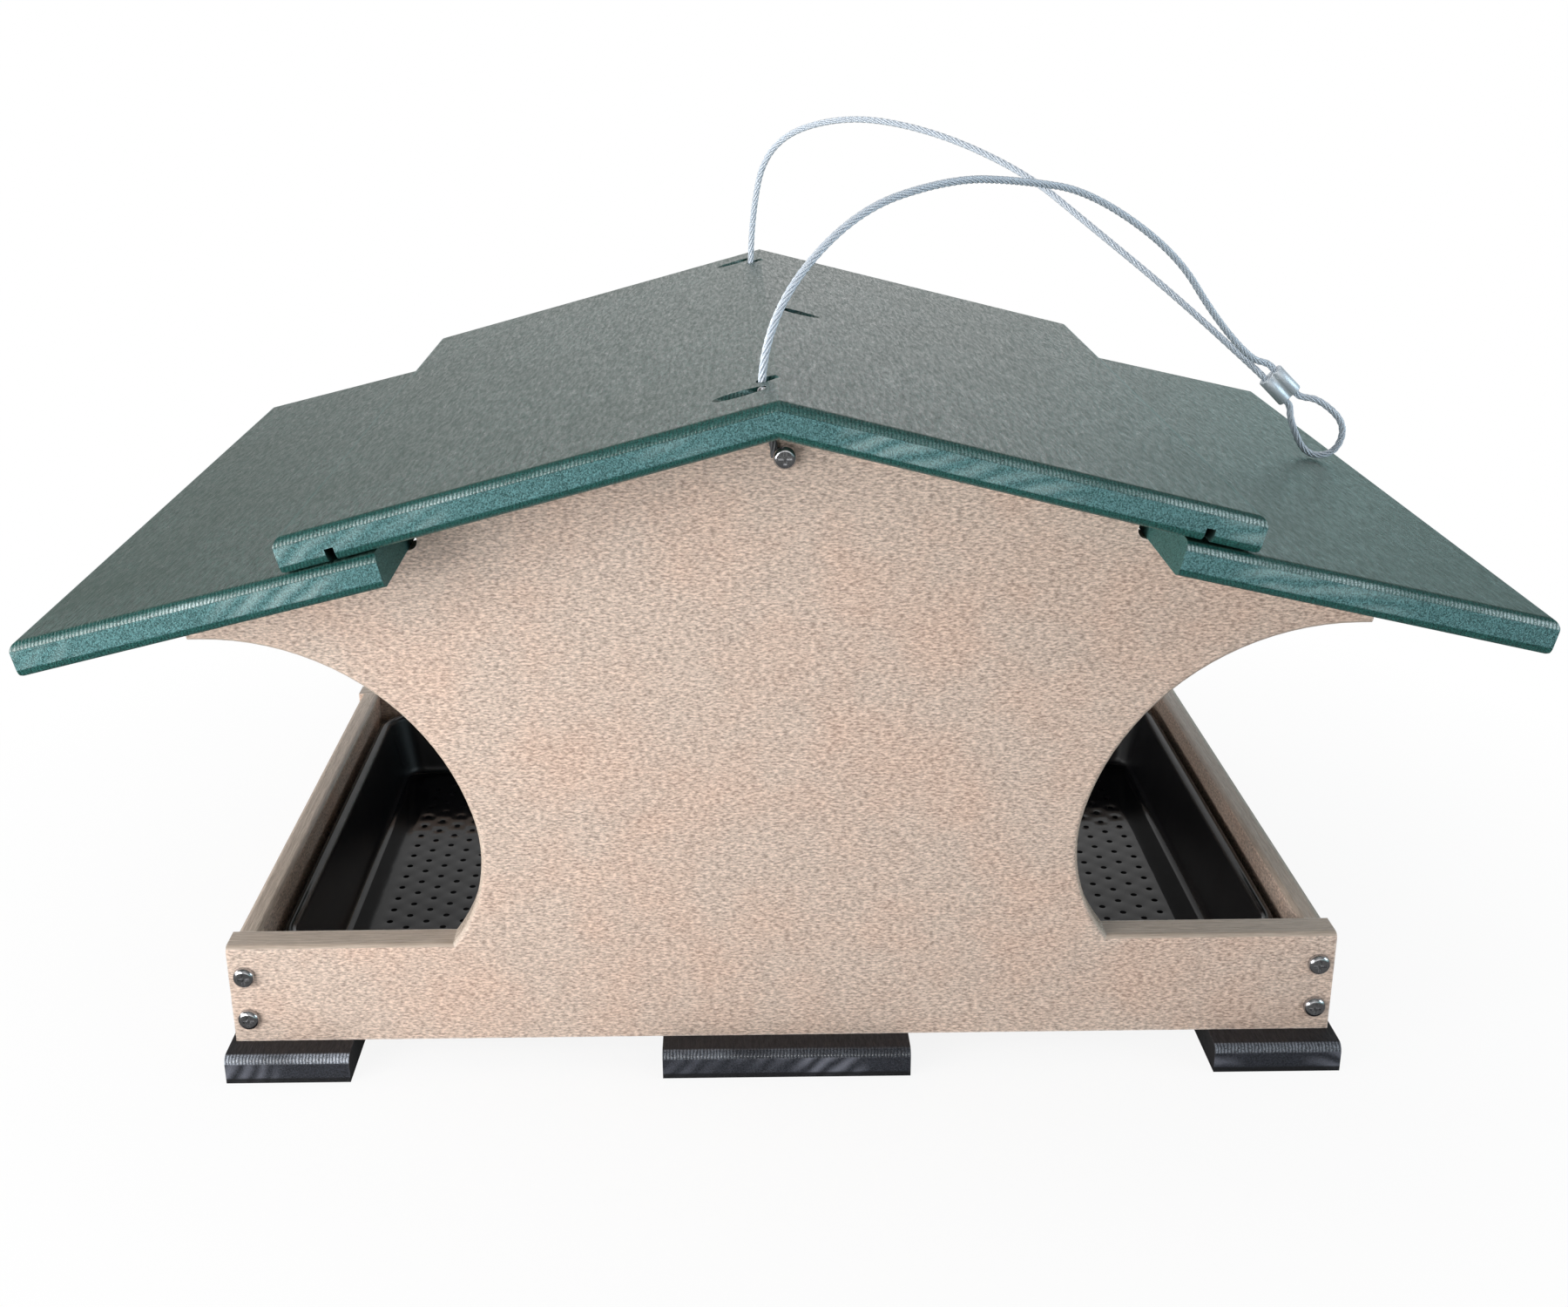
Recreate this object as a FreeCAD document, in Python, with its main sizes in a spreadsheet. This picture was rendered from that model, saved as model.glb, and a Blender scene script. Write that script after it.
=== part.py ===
import FreeCAD, Part
import math
import os

import Sketcher

# Covered tray feeder for birds. Two scooped end panels, two rails and three slats make the frame,
# a formed tray lies loose in it, and a four-board roof sits on the panels and hangs from a cable.
# Millimetres: X to the right, Y to the back, Z up, zero at the middle of the slats' undersides.

os.makedirs("parts", exist_ok=True)
doc = FreeCAD.newDocument("covered_tray_feeder")
vector = FreeCAD.Vector

SIZES = {
    # frame
    "frame_width": 432.0,
    "frame_depth": 283.0,
    "board_thickness": 12.7,
    "wall_height": 42.0,
    "edge_round": 2.5,
    "rail_thickness": 9.5,
    "rail_inset": 1.5,
    "rail_round": 2.5,
    "rail_end_gap": 0.1,
    # slats under the frame
    "slat_thickness": 11.5,
    "slat_reach": 12.3,
    "slat_round": 3.5,
    "side_slat_width": 49.0,
    "side_slat_reach": 2.0,
    "center_slat_width": 97.0,
    "center_slat_shift": 2.3,
    # scoops and gable of the end panels
    "waist_inset": 102.1,
    "waist_rise": 80.0,
    "scoop_radius": 61.6,
    "scoop_turn": 15.7,
    "tip_flat": 4.5,
    "tip_thickness": 13.5,
    "notch_gap": 4.1,
    "notch_round": 3.2,
    # roof
    "roof_depth": 374.0,
    "roof_slope": 14.55,
    "lower_slope": 13.32,
    "upper_length": 167.0,
    "upper_extra_left": 8.0,
    "lower_length": 131.0,
    "lap_length": 24.0,
    "lap_gap": 0.4,
    "seat_gap": 0.2,
    "roof_round": 3.5,
    "roof_soften": 1.0,
    "kerf_setback": 18.0,
    "kerf_width": 3.2,
    "kerf_depth": 5.0,
    # tray
    "tray_side_gap": 3.5,
    "tray_end_gap": 3.3,
    "tray_spread_x": 8.0,
    "tray_spread_y": 4.5,
    "tray_height": 32.8,
    "tray_wall": 2.0,
    "tray_corner": 12.0,
    "tray_bevel": 5.0,
    "tray_flange": 3.0,
    "tray_lift_gap": 0.2,
    "drain_diameter": 2.9,
    "drain_pitch_x": 16.3,
    "drain_pitch_y": 21.7,
    "drain_edge": 9.0,
    # screws
    "screw_diameter": 4.0,
    "screw_clearance": 0.2,
    "head_diameter": 8.5,
    "head_height": 2.6,
    "recess_width": 1.2,
    "recess_length": 4.8,
    "recess_depth": 1.4,
    "rail_screw_length": 38.0,
    "rail_screw_low": 10.2,
    "rail_screw_high": 29.1,
    "anchor_drop": 15.4,
    "anchor_offset": 3.0,
    "anchor_length": 14.5,
    "slat_screw_length": 30.0,
    "toe_screw_grip": 5.0,
    "toe_screw_length": 30.0,
    "toe_pocket_diameter": 9.6,
    "toe_front_setback": 12.5,
    "toe_middle_y": 6.0,
    "toe_back_setback": 14.0,
    "lap_screw_length": 20.0,
    "lap_screw_edge": 8.0,
    "lap_screw_spread": 118.0,
    # hanger cable
    "cable_diameter": 3.0,
    "cable_hole_diameter": 8.0,
    "cable_hole_offset": 3.0,
    "cable_standoff": 4.5,
    "cable_start": 5.0,
    "cable_slip": 0.1,
    "tail_drop": 9.0,
    "tail_above": 5.0,
    "tail_below": 0.5,
    "strand_rise": 24.0,
    "strand_lead": 4.5,
    "eye_setback": 18.0,
    "eye_y": 21.0,
    "eye_lead_back": 3.5,
    "eye_lead_front": 3.5,
    "sleeve_length": 13.6,
    "sleeve_barrel": 6.3,
    "sleeve_pitch": 5.4,
}

# Every place worked out from the sizes above. Heights count from the foot of the end panels.
PLACES = {
    "half_width": "Sizes.frame_width / 2",
    "scoop_x": "half_width - Sizes.waist_inset + Sizes.scoop_radius",
    "scoop_wall_x":
        "scoop_x - sqrt(Sizes.scoop_radius ^ 2 - (Sizes.waist_rise - Sizes.wall_height) ^ 2)",
    "turn_x": "scoop_x - Sizes.scoop_radius * cos(Sizes.scoop_turn)",
    "turn_z": "Sizes.waist_rise + Sizes.scoop_radius * sin(Sizes.scoop_turn)",
    "crest_x": "half_width - Sizes.tip_flat",
    "crest_radius": "Sizes.scoop_radius + (crest_x - scoop_x) / cos(Sizes.scoop_turn)",
    "crest_z":
        "Sizes.waist_rise + crest_radius"
        " - (crest_radius - Sizes.scoop_radius) * sin(Sizes.scoop_turn)",
    "tip_z": "crest_z + Sizes.tip_thickness",
    "foot_x":
        "Sizes.upper_length * cos(Sizes.roof_slope)"
        " - Sizes.board_thickness * sin(Sizes.roof_slope)",
    "seat_rise": "(Sizes.board_thickness + Sizes.seat_gap) / cos(Sizes.lower_slope)",
    "foot_z":
        "tip_z + (half_width - foot_x) * tan(Sizes.lower_slope) + seat_rise + Sizes.lap_gap",
    "ridge_z":
        "foot_z + Sizes.upper_length * sin(Sizes.roof_slope)"
        " + Sizes.board_thickness * cos(Sizes.roof_slope)",
    "apex_z":
        "ridge_z - (Sizes.board_thickness + Sizes.seat_gap) / cos(Sizes.roof_slope)",
    "lower_x": "foot_x - Sizes.lap_length * cos(Sizes.lower_slope)",
    "lower_z": "foot_z - Sizes.lap_gap + Sizes.lap_length * sin(Sizes.lower_slope)",
    "notch_x":
        "lower_x - Sizes.notch_gap * cos(Sizes.lower_slope)"
        " - (Sizes.board_thickness + Sizes.seat_gap) * sin(Sizes.lower_slope)",
    "notch_z":
        "lower_z + Sizes.notch_gap * sin(Sizes.lower_slope)"
        " - (Sizes.board_thickness + Sizes.seat_gap) * cos(Sizes.lower_slope)",
    "notch_depth":
        "(apex_z - notch_x * tan(Sizes.roof_slope) - notch_z)"
        " / (cos(Sizes.lower_slope) + sin(Sizes.lower_slope) * tan(Sizes.roof_slope))",
    "shoulder_x": "notch_x + notch_depth * sin(Sizes.lower_slope)",
    "shoulder_z": "notch_z + notch_depth * cos(Sizes.lower_slope)",
    "mitre_foot": "Sizes.board_thickness * tan(Sizes.roof_slope)",
    "upper_length_left": "Sizes.upper_length + Sizes.upper_extra_left",
    "kerf_near": "Sizes.upper_length - Sizes.kerf_setback - Sizes.kerf_width / 2",
    "kerf_far": "kerf_near + Sizes.kerf_width",
    "kerf_near_left": "kerf_near + Sizes.upper_extra_left",
    "kerf_far_left": "kerf_far + Sizes.upper_extra_left",
    "kerf_crown": "Sizes.board_thickness - Sizes.kerf_depth",
    "rail_half": "Sizes.rail_thickness / 2",
    "rail_length":
        "Sizes.frame_depth - 2 * Sizes.board_thickness - 2 * Sizes.rail_end_gap",
    "rail_x": "half_width - Sizes.rail_inset - Sizes.rail_thickness / 2",
    "slat_length": "Sizes.frame_depth + 2 * Sizes.slat_reach",
    "side_slat_half": "Sizes.side_slat_width / 2",
    "center_slat_half": "Sizes.center_slat_width / 2",
    "side_slat_x": "half_width + Sizes.side_slat_reach - side_slat_half",
    "panel_y": "(Sizes.frame_depth - Sizes.board_thickness) / 2",
    "tray_rim_x": "rail_x - Sizes.rail_thickness / 2 - Sizes.tray_side_gap",
    "tray_rim_y": "Sizes.frame_depth / 2 - Sizes.board_thickness - Sizes.tray_end_gap",
    "tray_rim_corner": "tray_brow_corner + Sizes.tray_flange",
    "tray_brow_x": "tray_rim_x - Sizes.tray_flange",
    "tray_brow_y": "tray_rim_y - Sizes.tray_flange",
    "tray_brow_corner": "Sizes.tray_corner + Sizes.tray_spread_y",
    "tray_bend_x": "tray_brow_x - Sizes.tray_spread_x + Sizes.tray_wall / 2",
    "tray_bend_y": "tray_brow_y - Sizes.tray_spread_y + Sizes.tray_wall / 2",
    "tray_bend_corner": "Sizes.tray_corner + Sizes.tray_wall / 2",
    "tray_sole_x": "tray_brow_x - Sizes.tray_spread_x - Sizes.tray_bevel",
    "tray_sole_y": "tray_brow_y - Sizes.tray_spread_y - Sizes.tray_bevel",
    "tray_sole_corner": "Sizes.tray_corner - Sizes.tray_bevel / 2",
    "tray_bed_x": "tray_sole_x - Sizes.tray_wall / 2",
    "tray_bed_y": "tray_sole_y - Sizes.tray_wall / 2",
    "tray_bed_corner": "tray_sole_corner - Sizes.tray_wall / 2",
    "tray_cove_x": "tray_bend_x - Sizes.tray_wall",
    "tray_cove_y": "tray_bend_y - Sizes.tray_wall",
    "tray_cove_corner": "tray_bend_corner - Sizes.tray_wall",
    "tray_cove_z": "Sizes.tray_wall + Sizes.tray_bevel",
    "tray_mouth_x": "tray_brow_x - Sizes.tray_wall",
    "tray_mouth_y": "tray_brow_y - Sizes.tray_wall",
    "tray_mouth_corner": "tray_brow_corner - Sizes.tray_wall",
    "tray_rim_z": "Sizes.tray_height - Sizes.tray_wall",
}
for ring in (
    "tray_sole", "tray_bend", "tray_brow", "tray_bed", "tray_cove", "tray_mouth", "tray_rim",
):
    PLACES[ring + "_flat_x"] = f"{ring}_x - {ring}_corner"
    PLACES[ring + "_flat_y"] = f"{ring}_y - {ring}_corner"


def fill_sheet(name, entries, lead):
    """spreadsheet with one named cell for each entry"""
    sheet = doc.addObject("Spreadsheet::Sheet", name)
    for row, (alias, entry) in enumerate(entries.items(), 1):
        sheet.set(f"A{row}", alias)
        sheet.set(f"B{row}", f"{lead}{entry}")
        sheet.setAlias(f"B{row}", alias)
    doc.recompute()
    return sheet


sizes = fill_sheet("Sizes", SIZES, "")
places = fill_sheet("Places", PLACES, "=")


def cell(name):
    """expression for a named cell; a leading minus turns its sign"""
    bare = name.lstrip("-")
    sheet = "Places" if bare in PLACES else "Sizes"
    return f"{'-' if name != bare else ''}{sheet}.{bare}"


def number(name):
    """value of a named cell, with the same leading minus; "0" is plain zero"""
    if name == "0":
        return 0.0
    bare = name.lstrip("-")
    value = float((places if bare in PLACES else sizes).get(bare))
    return value if name == bare else -value


def flip(name):
    """the same cell with its sign turned"""
    if name == "0":
        return name
    return name[1:] if name.startswith("-") else "-" + name


def mirrored(corners, side):
    """corners of an outline for the right side (1) or, turned over, for the left side (-1)"""
    return corners if side > 0 else [(flip(x), y) for x, y in corners]


# Sketches

def draw_loop(sketch, corners, arcs=None):
    """closed loop whose corners are bound to cells; arcs gives, for the edge after a corner,
    its radius cell and 1 for a left turn or -1 for a right turn"""
    arcs = arcs or {}
    points = [vector(number(x), number(y), 0) for x, y in corners]
    marks = []
    for i, start in enumerate(points):
        end = points[(i + 1) % len(points)]
        if i not in arcs:
            marks.append((sketch.addGeometry(Part.LineSegment(start, end)), 1, 2))
            continue
        radius_cell, turn = arcs[i]
        radius = number(radius_cell)
        chord = end - start
        rise = math.sqrt(radius ** 2 - chord.Length ** 2 / 4)
        across = vector(-chord.y, chord.x, 0).normalize()
        center = (start + end) / 2 + across * rise * turn
        first, last = (start, end) if turn > 0 else (end, start)
        angle_first = math.atan2(first.y - center.y, first.x - center.x)
        angle_last = math.atan2(last.y - center.y, last.x - center.x)
        circle = Part.Circle(center, vector(0, 0, 1), radius)
        edge = sketch.addGeometry(Part.ArcOfCircle(circle, angle_first, angle_last))
        marks.append((edge, 1, 2) if turn > 0 else (edge, 2, 1))
        index = sketch.addConstraint(Sketcher.Constraint("Radius", edge, radius))
        sketch.setExpression(f"Constraints[{index}]", cell(radius_cell))
    for i, (edge, start_mark, end_mark) in enumerate(marks):
        next_edge, next_start, _ = marks[(i + 1) % len(marks)]
        sketch.addConstraint(
            Sketcher.Constraint("Coincident", edge, end_mark, next_edge, next_start))
        for kind, name in zip(("DistanceX", "DistanceY"), corners[i]):
            index = sketch.addConstraint(
                Sketcher.Constraint(kind, edge, start_mark, number(name)))
            if name != "0":
                sketch.setExpression(f"Constraints[{index}]", cell(name))


def new_sketch(body, name, plane, height=None):
    """sketch on one of the body's own planes, raised by a named height"""
    sketch = body.newObject("Sketcher::SketchObject", name)
    face = next(f for f in body.Origin.OriginFeatures if f.Role == plane)
    sketch.AttachmentSupport = [(face, "")]
    sketch.MapMode = "FlatFace"
    if height:
        sketch.setExpression("AttachmentOffset.Base.z", cell(height))
    return sketch


def board(name, corners, depth, arcs=None):
    """body padded from an outline in the XZ plane, half its depth to each side"""
    body = doc.addObject("PartDesign::Body", name + "_blank")
    sketch = new_sketch(body, name + "_outline", "XZ_Plane")
    draw_loop(sketch, corners, arcs)
    pad = body.newObject("PartDesign::Pad", name + "_pad")
    pad.Profile = sketch
    pad.SideType = "Symmetric"
    pad.setExpression("Length", cell(depth))
    doc.recompute()
    return body


def round_edges(body, radius, wanted, kind="Fillet", size="Radius"):
    """rounds, or bevels, the edges of the body's last feature whose points all pass the test"""
    tip = body.Tip
    names = []
    for i, edge in enumerate(tip.Shape.Edges, 1):
        middle = edge.valueAt((edge.FirstParameter + edge.LastParameter) / 2)
        if all(wanted(p) for p in [v.Point for v in edge.Vertexes] + [middle]):
            names.append(f"Edge{i}")
    feature = body.newObject("PartDesign::" + kind, f"{body.Name}_{radius}")
    feature.Base = (tip, names)
    feature.setExpression(size, cell(radius))
    doc.recompute()


def close(a, b):
    return abs(a - b) < 0.01


def bored(label, blank, drills):
    """the named sub-part: its blank with every hole cut out"""
    tool = doc.addObject("Part::Feature", label + "_holes")
    tool.Shape = Part.makeCompound(drills)
    cut = doc.addObject("Part::Cut", label)
    cut.Base = blank
    cut.Tool = tool
    return cut


def shaped(label, shape):
    """sub-part whose shape is worked out directly"""
    feature = doc.addObject("Part::Feature", label)
    feature.Shape = shape
    return feature


# Screws. Each is made with the underside of its head at zero and its shank along -Z.

def driven(shape, point, direction):
    """copy of a screw or drill, put at a point and turned to run along a direction"""
    turned = shape.copy()
    turned.Placement = FreeCAD.Placement(point, FreeCAD.Rotation(vector(0, 0, -1), direction))
    return turned


def shank(length, slack=0.0):
    """plain shank, or the hole for one, from the head's underside down"""
    radius = number("screw_diameter") / 2 + slack
    return Part.makeCylinder(radius, length + slack, vector(0, 0, -length - slack))


def cross_recess(top):
    """cross cut into a head whose top is at that height"""
    depth = number("recess_depth")
    long = number("recess_length")
    wide = number("recess_width")
    bars = [
        Part.makeBox(x, y, depth, vector(-x / 2, -y / 2, top - depth))
        for x, y in ((long, wide), (wide, long))
    ]
    return bars[0].fuse(bars[1])


def pan_screw(length):
    """screw with a domed head"""
    height = number("head_height")
    head = Part.makeCylinder(number("head_diameter") / 2, height)
    rim = [e for e in head.Edges if len(e.Vertexes) == 1 and close(e.CenterOfMass.z, height)]
    head = head.makeFillet(height * 0.7, rim)
    return head.fuse(shank(length)).removeSplitter().cut(cross_recess(height))


def flat_screw(length, slack=0.0):
    """screw with a countersunk head, its flat top at zero, or with slack the hole for it"""
    radius = number("screw_diameter") / 2 + slack
    wide = number("head_diameter") / 2 + slack
    sink = wide - radius
    head = Part.makeCone(radius, wide, sink, vector(0, 0, -sink))
    whole = head.fuse(Part.makeCylinder(radius, length + slack, vector(0, 0, -length - slack)))
    return whole.removeSplitter() if slack else whole.removeSplitter().cut(cross_recess(0))


slack = number("screw_clearance") / 2
half_depth = number("frame_depth") / 2
thickness = number("board_thickness")
foot = number("slat_thickness")
half_width = number("half_width")
panel_y = number("panel_y")
rail_x = number("rail_x")
FRONT, BACK = -1, 1
LEFT, RIGHT = -1, 1

# rail screws: through the panels into the rails' ends, two at each end
rail_screw_points = {
    end: [
        vector(side * rail_x, end * half_depth, foot + number(height))
        for side in (LEFT, RIGHT)
        for height in ("rail_screw_low", "rail_screw_high")
    ]
    for end in (FRONT, BACK)
}
# slat screws: up through the slats into the panels' bottom edges
slat_screw_shares = {
    "slat_left": ("-side_slat_x", "side_slat_width", (0.3, -0.08)),
    "slat_center": ("center_slat_shift", "center_slat_width", (-0.3, 0.3)),
    "slat_right": ("side_slat_x", "side_slat_width", (-0.3, 0.08)),
}
slat_screw_points = {
    slat: [
        vector(number(middle) + share * number(width), end * panel_y, 0)
        for share in shares
        for end in (FRONT, BACK)
    ]
    for slat, (middle, width, shares) in slat_screw_shares.items()
}
# anchor screws: one high on each panel, its head held off by the cable's end
cable_radius = number("cable_diameter") / 2
anchor_gap = number("cable_diameter") + 2 * number("cable_slip")
anchor_x = number("anchor_offset")
anchor_z = foot + number("apex_z") - number("anchor_drop")
anchor_points = {
    end: vector(anchor_x, end * (half_depth + anchor_gap), anchor_z)
    for end in (FRONT, BACK)
}
up = vector(0, 0, 1)


def inward(end):
    return vector(0, -end, 0)


# End panels: one board each, a low wall below, a waist between two scoops, a stepped gable above

panel_right = [
    ("half_width", "0"),
    ("half_width", "wall_height"),
    ("scoop_wall_x", "wall_height"),
    ("turn_x", "turn_z"),
    ("crest_x", "crest_z"),
    ("half_width", "crest_z"),
    ("half_width", "tip_z"),
    ("notch_x", "notch_z"),
    ("shoulder_x", "shoulder_z"),
]
panel_outline = panel_right + [("0", "apex_z")] + mirrored(panel_right[::-1], LEFT)
panel_arcs = {
    2: ("scoop_radius", -1),
    3: ("crest_radius", -1),
    14: ("crest_radius", -1),
    15: ("scoop_radius", -1),
}
wall = number("wall_height")
crest_x = number("crest_x")
crest_z = number("crest_z")

for name, end in (("front", FRONT), ("back", BACK)):
    label = "end_panel_" + name
    body = board(label, panel_outline, "board_thickness", panel_arcs)
    body.Placement.Rotation = FreeCAD.Rotation(up, 0 if end == FRONT else 180)
    body.setExpression("Placement.Base.y", ("-" if end == FRONT else "") + "Places.panel_y")
    body.setExpression("Placement.Base.z", "Sizes.slat_thickness")
    notch = (number("notch_x"), number("notch_z"))
    round_edges(
        body, "notch_round", lambda p: close(abs(p.x), notch[0]) and close(p.z, notch[1]))
    outside = -thickness / 2
    round_edges(
        body, "edge_round",
        lambda p: close(p.y, outside) and wall - 0.01 < p.z < crest_z + 0.01
        and (abs(p.x) < crest_x + 0.01 or close(p.z, wall)))
    drills = [
        driven(shank(number("rail_screw_length"), slack), p, inward(end))
        for p in rail_screw_points[end]
    ]
    drills.append(driven(shank(number("anchor_length"), slack), anchor_points[end], inward(end)))
    for points in slat_screw_points.values():
        drills += [
            driven(shank(number("slat_screw_length"), slack), p, up)
            for p in points if p.y * end > 0
        ]
    bored(label, body, drills)

# Side rails between the panels

for name, side in (("left", LEFT), ("right", RIGHT)):
    label = "side_rail_" + name
    rail_corners = [
        ("-rail_half", "0"),
        ("rail_half", "0"),
        ("rail_half", "wall_height"),
        ("-rail_half", "wall_height"),
    ]
    body = board(label, rail_corners, "rail_length")
    body.setExpression("Placement.Base.x", ("-" if side == LEFT else "") + "Places.rail_x")
    body.setExpression("Placement.Base.z", "Sizes.slat_thickness")
    rail_half = number("rail_half")
    round_edges(
        body, "rail_round", lambda p: close(p.z, wall) and close(abs(p.x), rail_half))
    drills = [
        driven(shank(number("rail_screw_length"), slack), p, inward(end))
        for end in (FRONT, BACK)
        for p in rail_screw_points[end] if p.x * side > 0
    ]
    bored(label, body, drills)

# Slats under the frame, front to back, sticking out past both panels

for label, half, middle in (
    ("slat_left", "side_slat_half", "-side_slat_x"),
    ("slat_center", "center_slat_half", "center_slat_shift"),
    ("slat_right", "side_slat_half", "side_slat_x"),
):
    slat_corners = [
        (flip(half), "0"),
        (half, "0"),
        (half, "slat_thickness"),
        (flip(half), "slat_thickness"),
    ]
    body = board(label, slat_corners, "slat_length")
    body.setExpression("Placement.Base.x", cell(middle))
    slat_end = number("slat_length") / 2
    round_edges(
        body, "slat_round", lambda p: close(p.z, foot) and close(abs(p.y), slat_end))
    drills = [
        driven(flat_screw(number("slat_screw_length"), slack), p, up)
        for p in slat_screw_points[label]
    ]
    bored(label, body, drills)

# Seed tray: formed sheet with sloping walls, a flat rim and a floor full of drain holes


def rounded_rectangle(sketch, ring):
    """loop with four round corners, from the named cells of that ring"""
    x, y, flat_x, flat_y = (ring + tail for tail in ("_x", "_y", "_flat_x", "_flat_y"))
    quarter = [(x, flat_y), (flat_x, y)]
    loop = (
        quarter
        + [(flip(a), b) for a, b in quarter[::-1]]
        + [(flip(a), flip(b)) for a, b in quarter]
        + [(a, flip(b)) for a, b in quarter[::-1]]
    )
    draw_loop(sketch, loop, {i: (ring + "_corner", 1) for i in (0, 2, 4, 6)})


def tray_block(name, rings):
    """solid block lofted through rings at named heights: the tray's outside or its hollow"""
    body = doc.addObject("PartDesign::Body", "tray_" + name)
    body.setExpression("Placement.Base.z", "Sizes.slat_thickness + Sizes.tray_lift_gap")
    sketches = []
    for ring, height in rings:
        sketches.append(new_sketch(body, ring + "_outline", "XY_Plane", height))
        rounded_rectangle(sketches[-1], ring)
    loft = body.newObject("PartDesign::AdditiveLoft", f"tray_{name}_loft")
    loft.Profile = sketches[0]
    loft.Sections = sketches[1:]
    loft.Ruled = True
    doc.recompute()
    return body


tray_outside = tray_block(
    "outside", [("tray_sole", None), ("tray_bend", "tray_bevel"), ("tray_brow", "tray_height")])
tray_hollow = tray_block(
    "hollow", [("tray_bed", "tray_wall"), ("tray_cove", "tray_cove_z"), ("tray_mouth", "tray_height")])
tray_rim = doc.addObject("PartDesign::Body", "tray_rim")
tray_rim.setExpression("Placement.Base.z", "Sizes.slat_thickness + Sizes.tray_lift_gap")
rim_sketch = new_sketch(tray_rim, "tray_rim_outline", "XY_Plane", "tray_rim_z")
rounded_rectangle(rim_sketch, "tray_rim")
rim_pad = tray_rim.newObject("PartDesign::Pad", "tray_rim_pad")
rim_pad.Profile = rim_sketch
rim_pad.setExpression("Length", "Sizes.tray_wall")
doc.recompute()
tray_solid = doc.addObject("Part::Fuse", "tray_solid")
tray_solid.Base = tray_outside
tray_solid.Tool = tray_rim
tray_shell = doc.addObject("Part::Cut", "tray_shell")
tray_shell.Base = tray_solid
tray_shell.Tool = tray_hollow

pitch_x = number("drain_pitch_x")
pitch_y = number("drain_pitch_y")
reach_x = number("tray_bed_x") - number("drain_edge")
reach_y = number("tray_bed_y") - number("drain_edge")
columns = int(reach_x / pitch_x)
rows = int(reach_y / pitch_y)
drains = []
for column in range(-columns, columns + 1):
    shift = pitch_y / 2 * (column % 2)
    for row in range(-rows, rows + 1):
        y = row * pitch_y + shift
        if abs(y) <= reach_y:
            drains.append(Part.makeCylinder(
                number("drain_diameter") / 2, number("tray_wall") * 3,
                vector(column * pitch_x, y, foot - number("tray_wall"))))
bored("seed_tray", tray_shell, drains)

# Roof: two upper boards mitred at the ridge, two lower boards lapped under their outer edges

roof_slope = math.radians(number("roof_slope"))
lower_slope = math.radians(number("lower_slope"))
ridge = foot + number("ridge_z")
roof_end = number("roof_depth") / 2


def on_lower(side, along, across, y):
    """point of a lower board, by its distance down the slope and below its top"""
    x = number("lower_x") + along * math.cos(lower_slope) - across * math.sin(lower_slope)
    z = number("lower_z") - along * math.sin(lower_slope) - across * math.cos(lower_slope)
    return vector(side * x, y, foot + z)


# toe screws: each runs down the middle of one upper board from a slanted pocket in the other
cable_y = half_depth + number("cable_standoff")
toe_screws = [
    (RIGHT, -cable_y - number("toe_front_setback")),
    (LEFT, number("toe_middle_y")),
    (RIGHT, cable_y + number("toe_back_setback")),
]
toe_points = []
for side, y in toe_screws:
    along = vector(side * math.cos(roof_slope), 0, -math.sin(roof_slope))
    middle = vector(0, y, ridge - thickness / 2 / math.cos(roof_slope))
    toe_points.append((side, middle - along * number("toe_screw_grip"), along))
pocket = Part.makeCylinder(
    number("toe_pocket_diameter") / 2, thickness / math.sin(roof_slope))

# lap screws: up through each lower board into the upper one
lap_points = {
    side: [
        on_lower(side, number("lap_length") - number("lap_screw_edge"), thickness, y)
        for y in (-number("lap_screw_spread"), 0, number("lap_screw_spread"))
    ]
    for side in (LEFT, RIGHT)
}
lap_up = {
    side: vector(side * math.sin(lower_slope), 0, math.cos(lower_slope))
    for side in (LEFT, RIGHT)
}

cable_holes = [
    Part.makeCylinder(
        number("cable_hole_diameter") / 2, 4 * thickness,
        vector(-number("cable_hole_offset"), end * cable_y, ridge - 3 * thickness))
    for end in (FRONT, BACK)
]


def upper_corners(tail):
    """section of an upper board, from its mitre at the ridge; tail picks the left board's cells"""
    return [
        ("0", "0"),
        ("upper_length" + tail, "0"),
        ("upper_length" + tail, "-board_thickness"),
        ("kerf_far" + tail, "-board_thickness"),
        ("kerf_far" + tail, "-kerf_crown"),
        ("kerf_near" + tail, "-kerf_crown"),
        ("kerf_near" + tail, "-board_thickness"),
        ("mitre_foot", "-board_thickness"),
    ]


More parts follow.
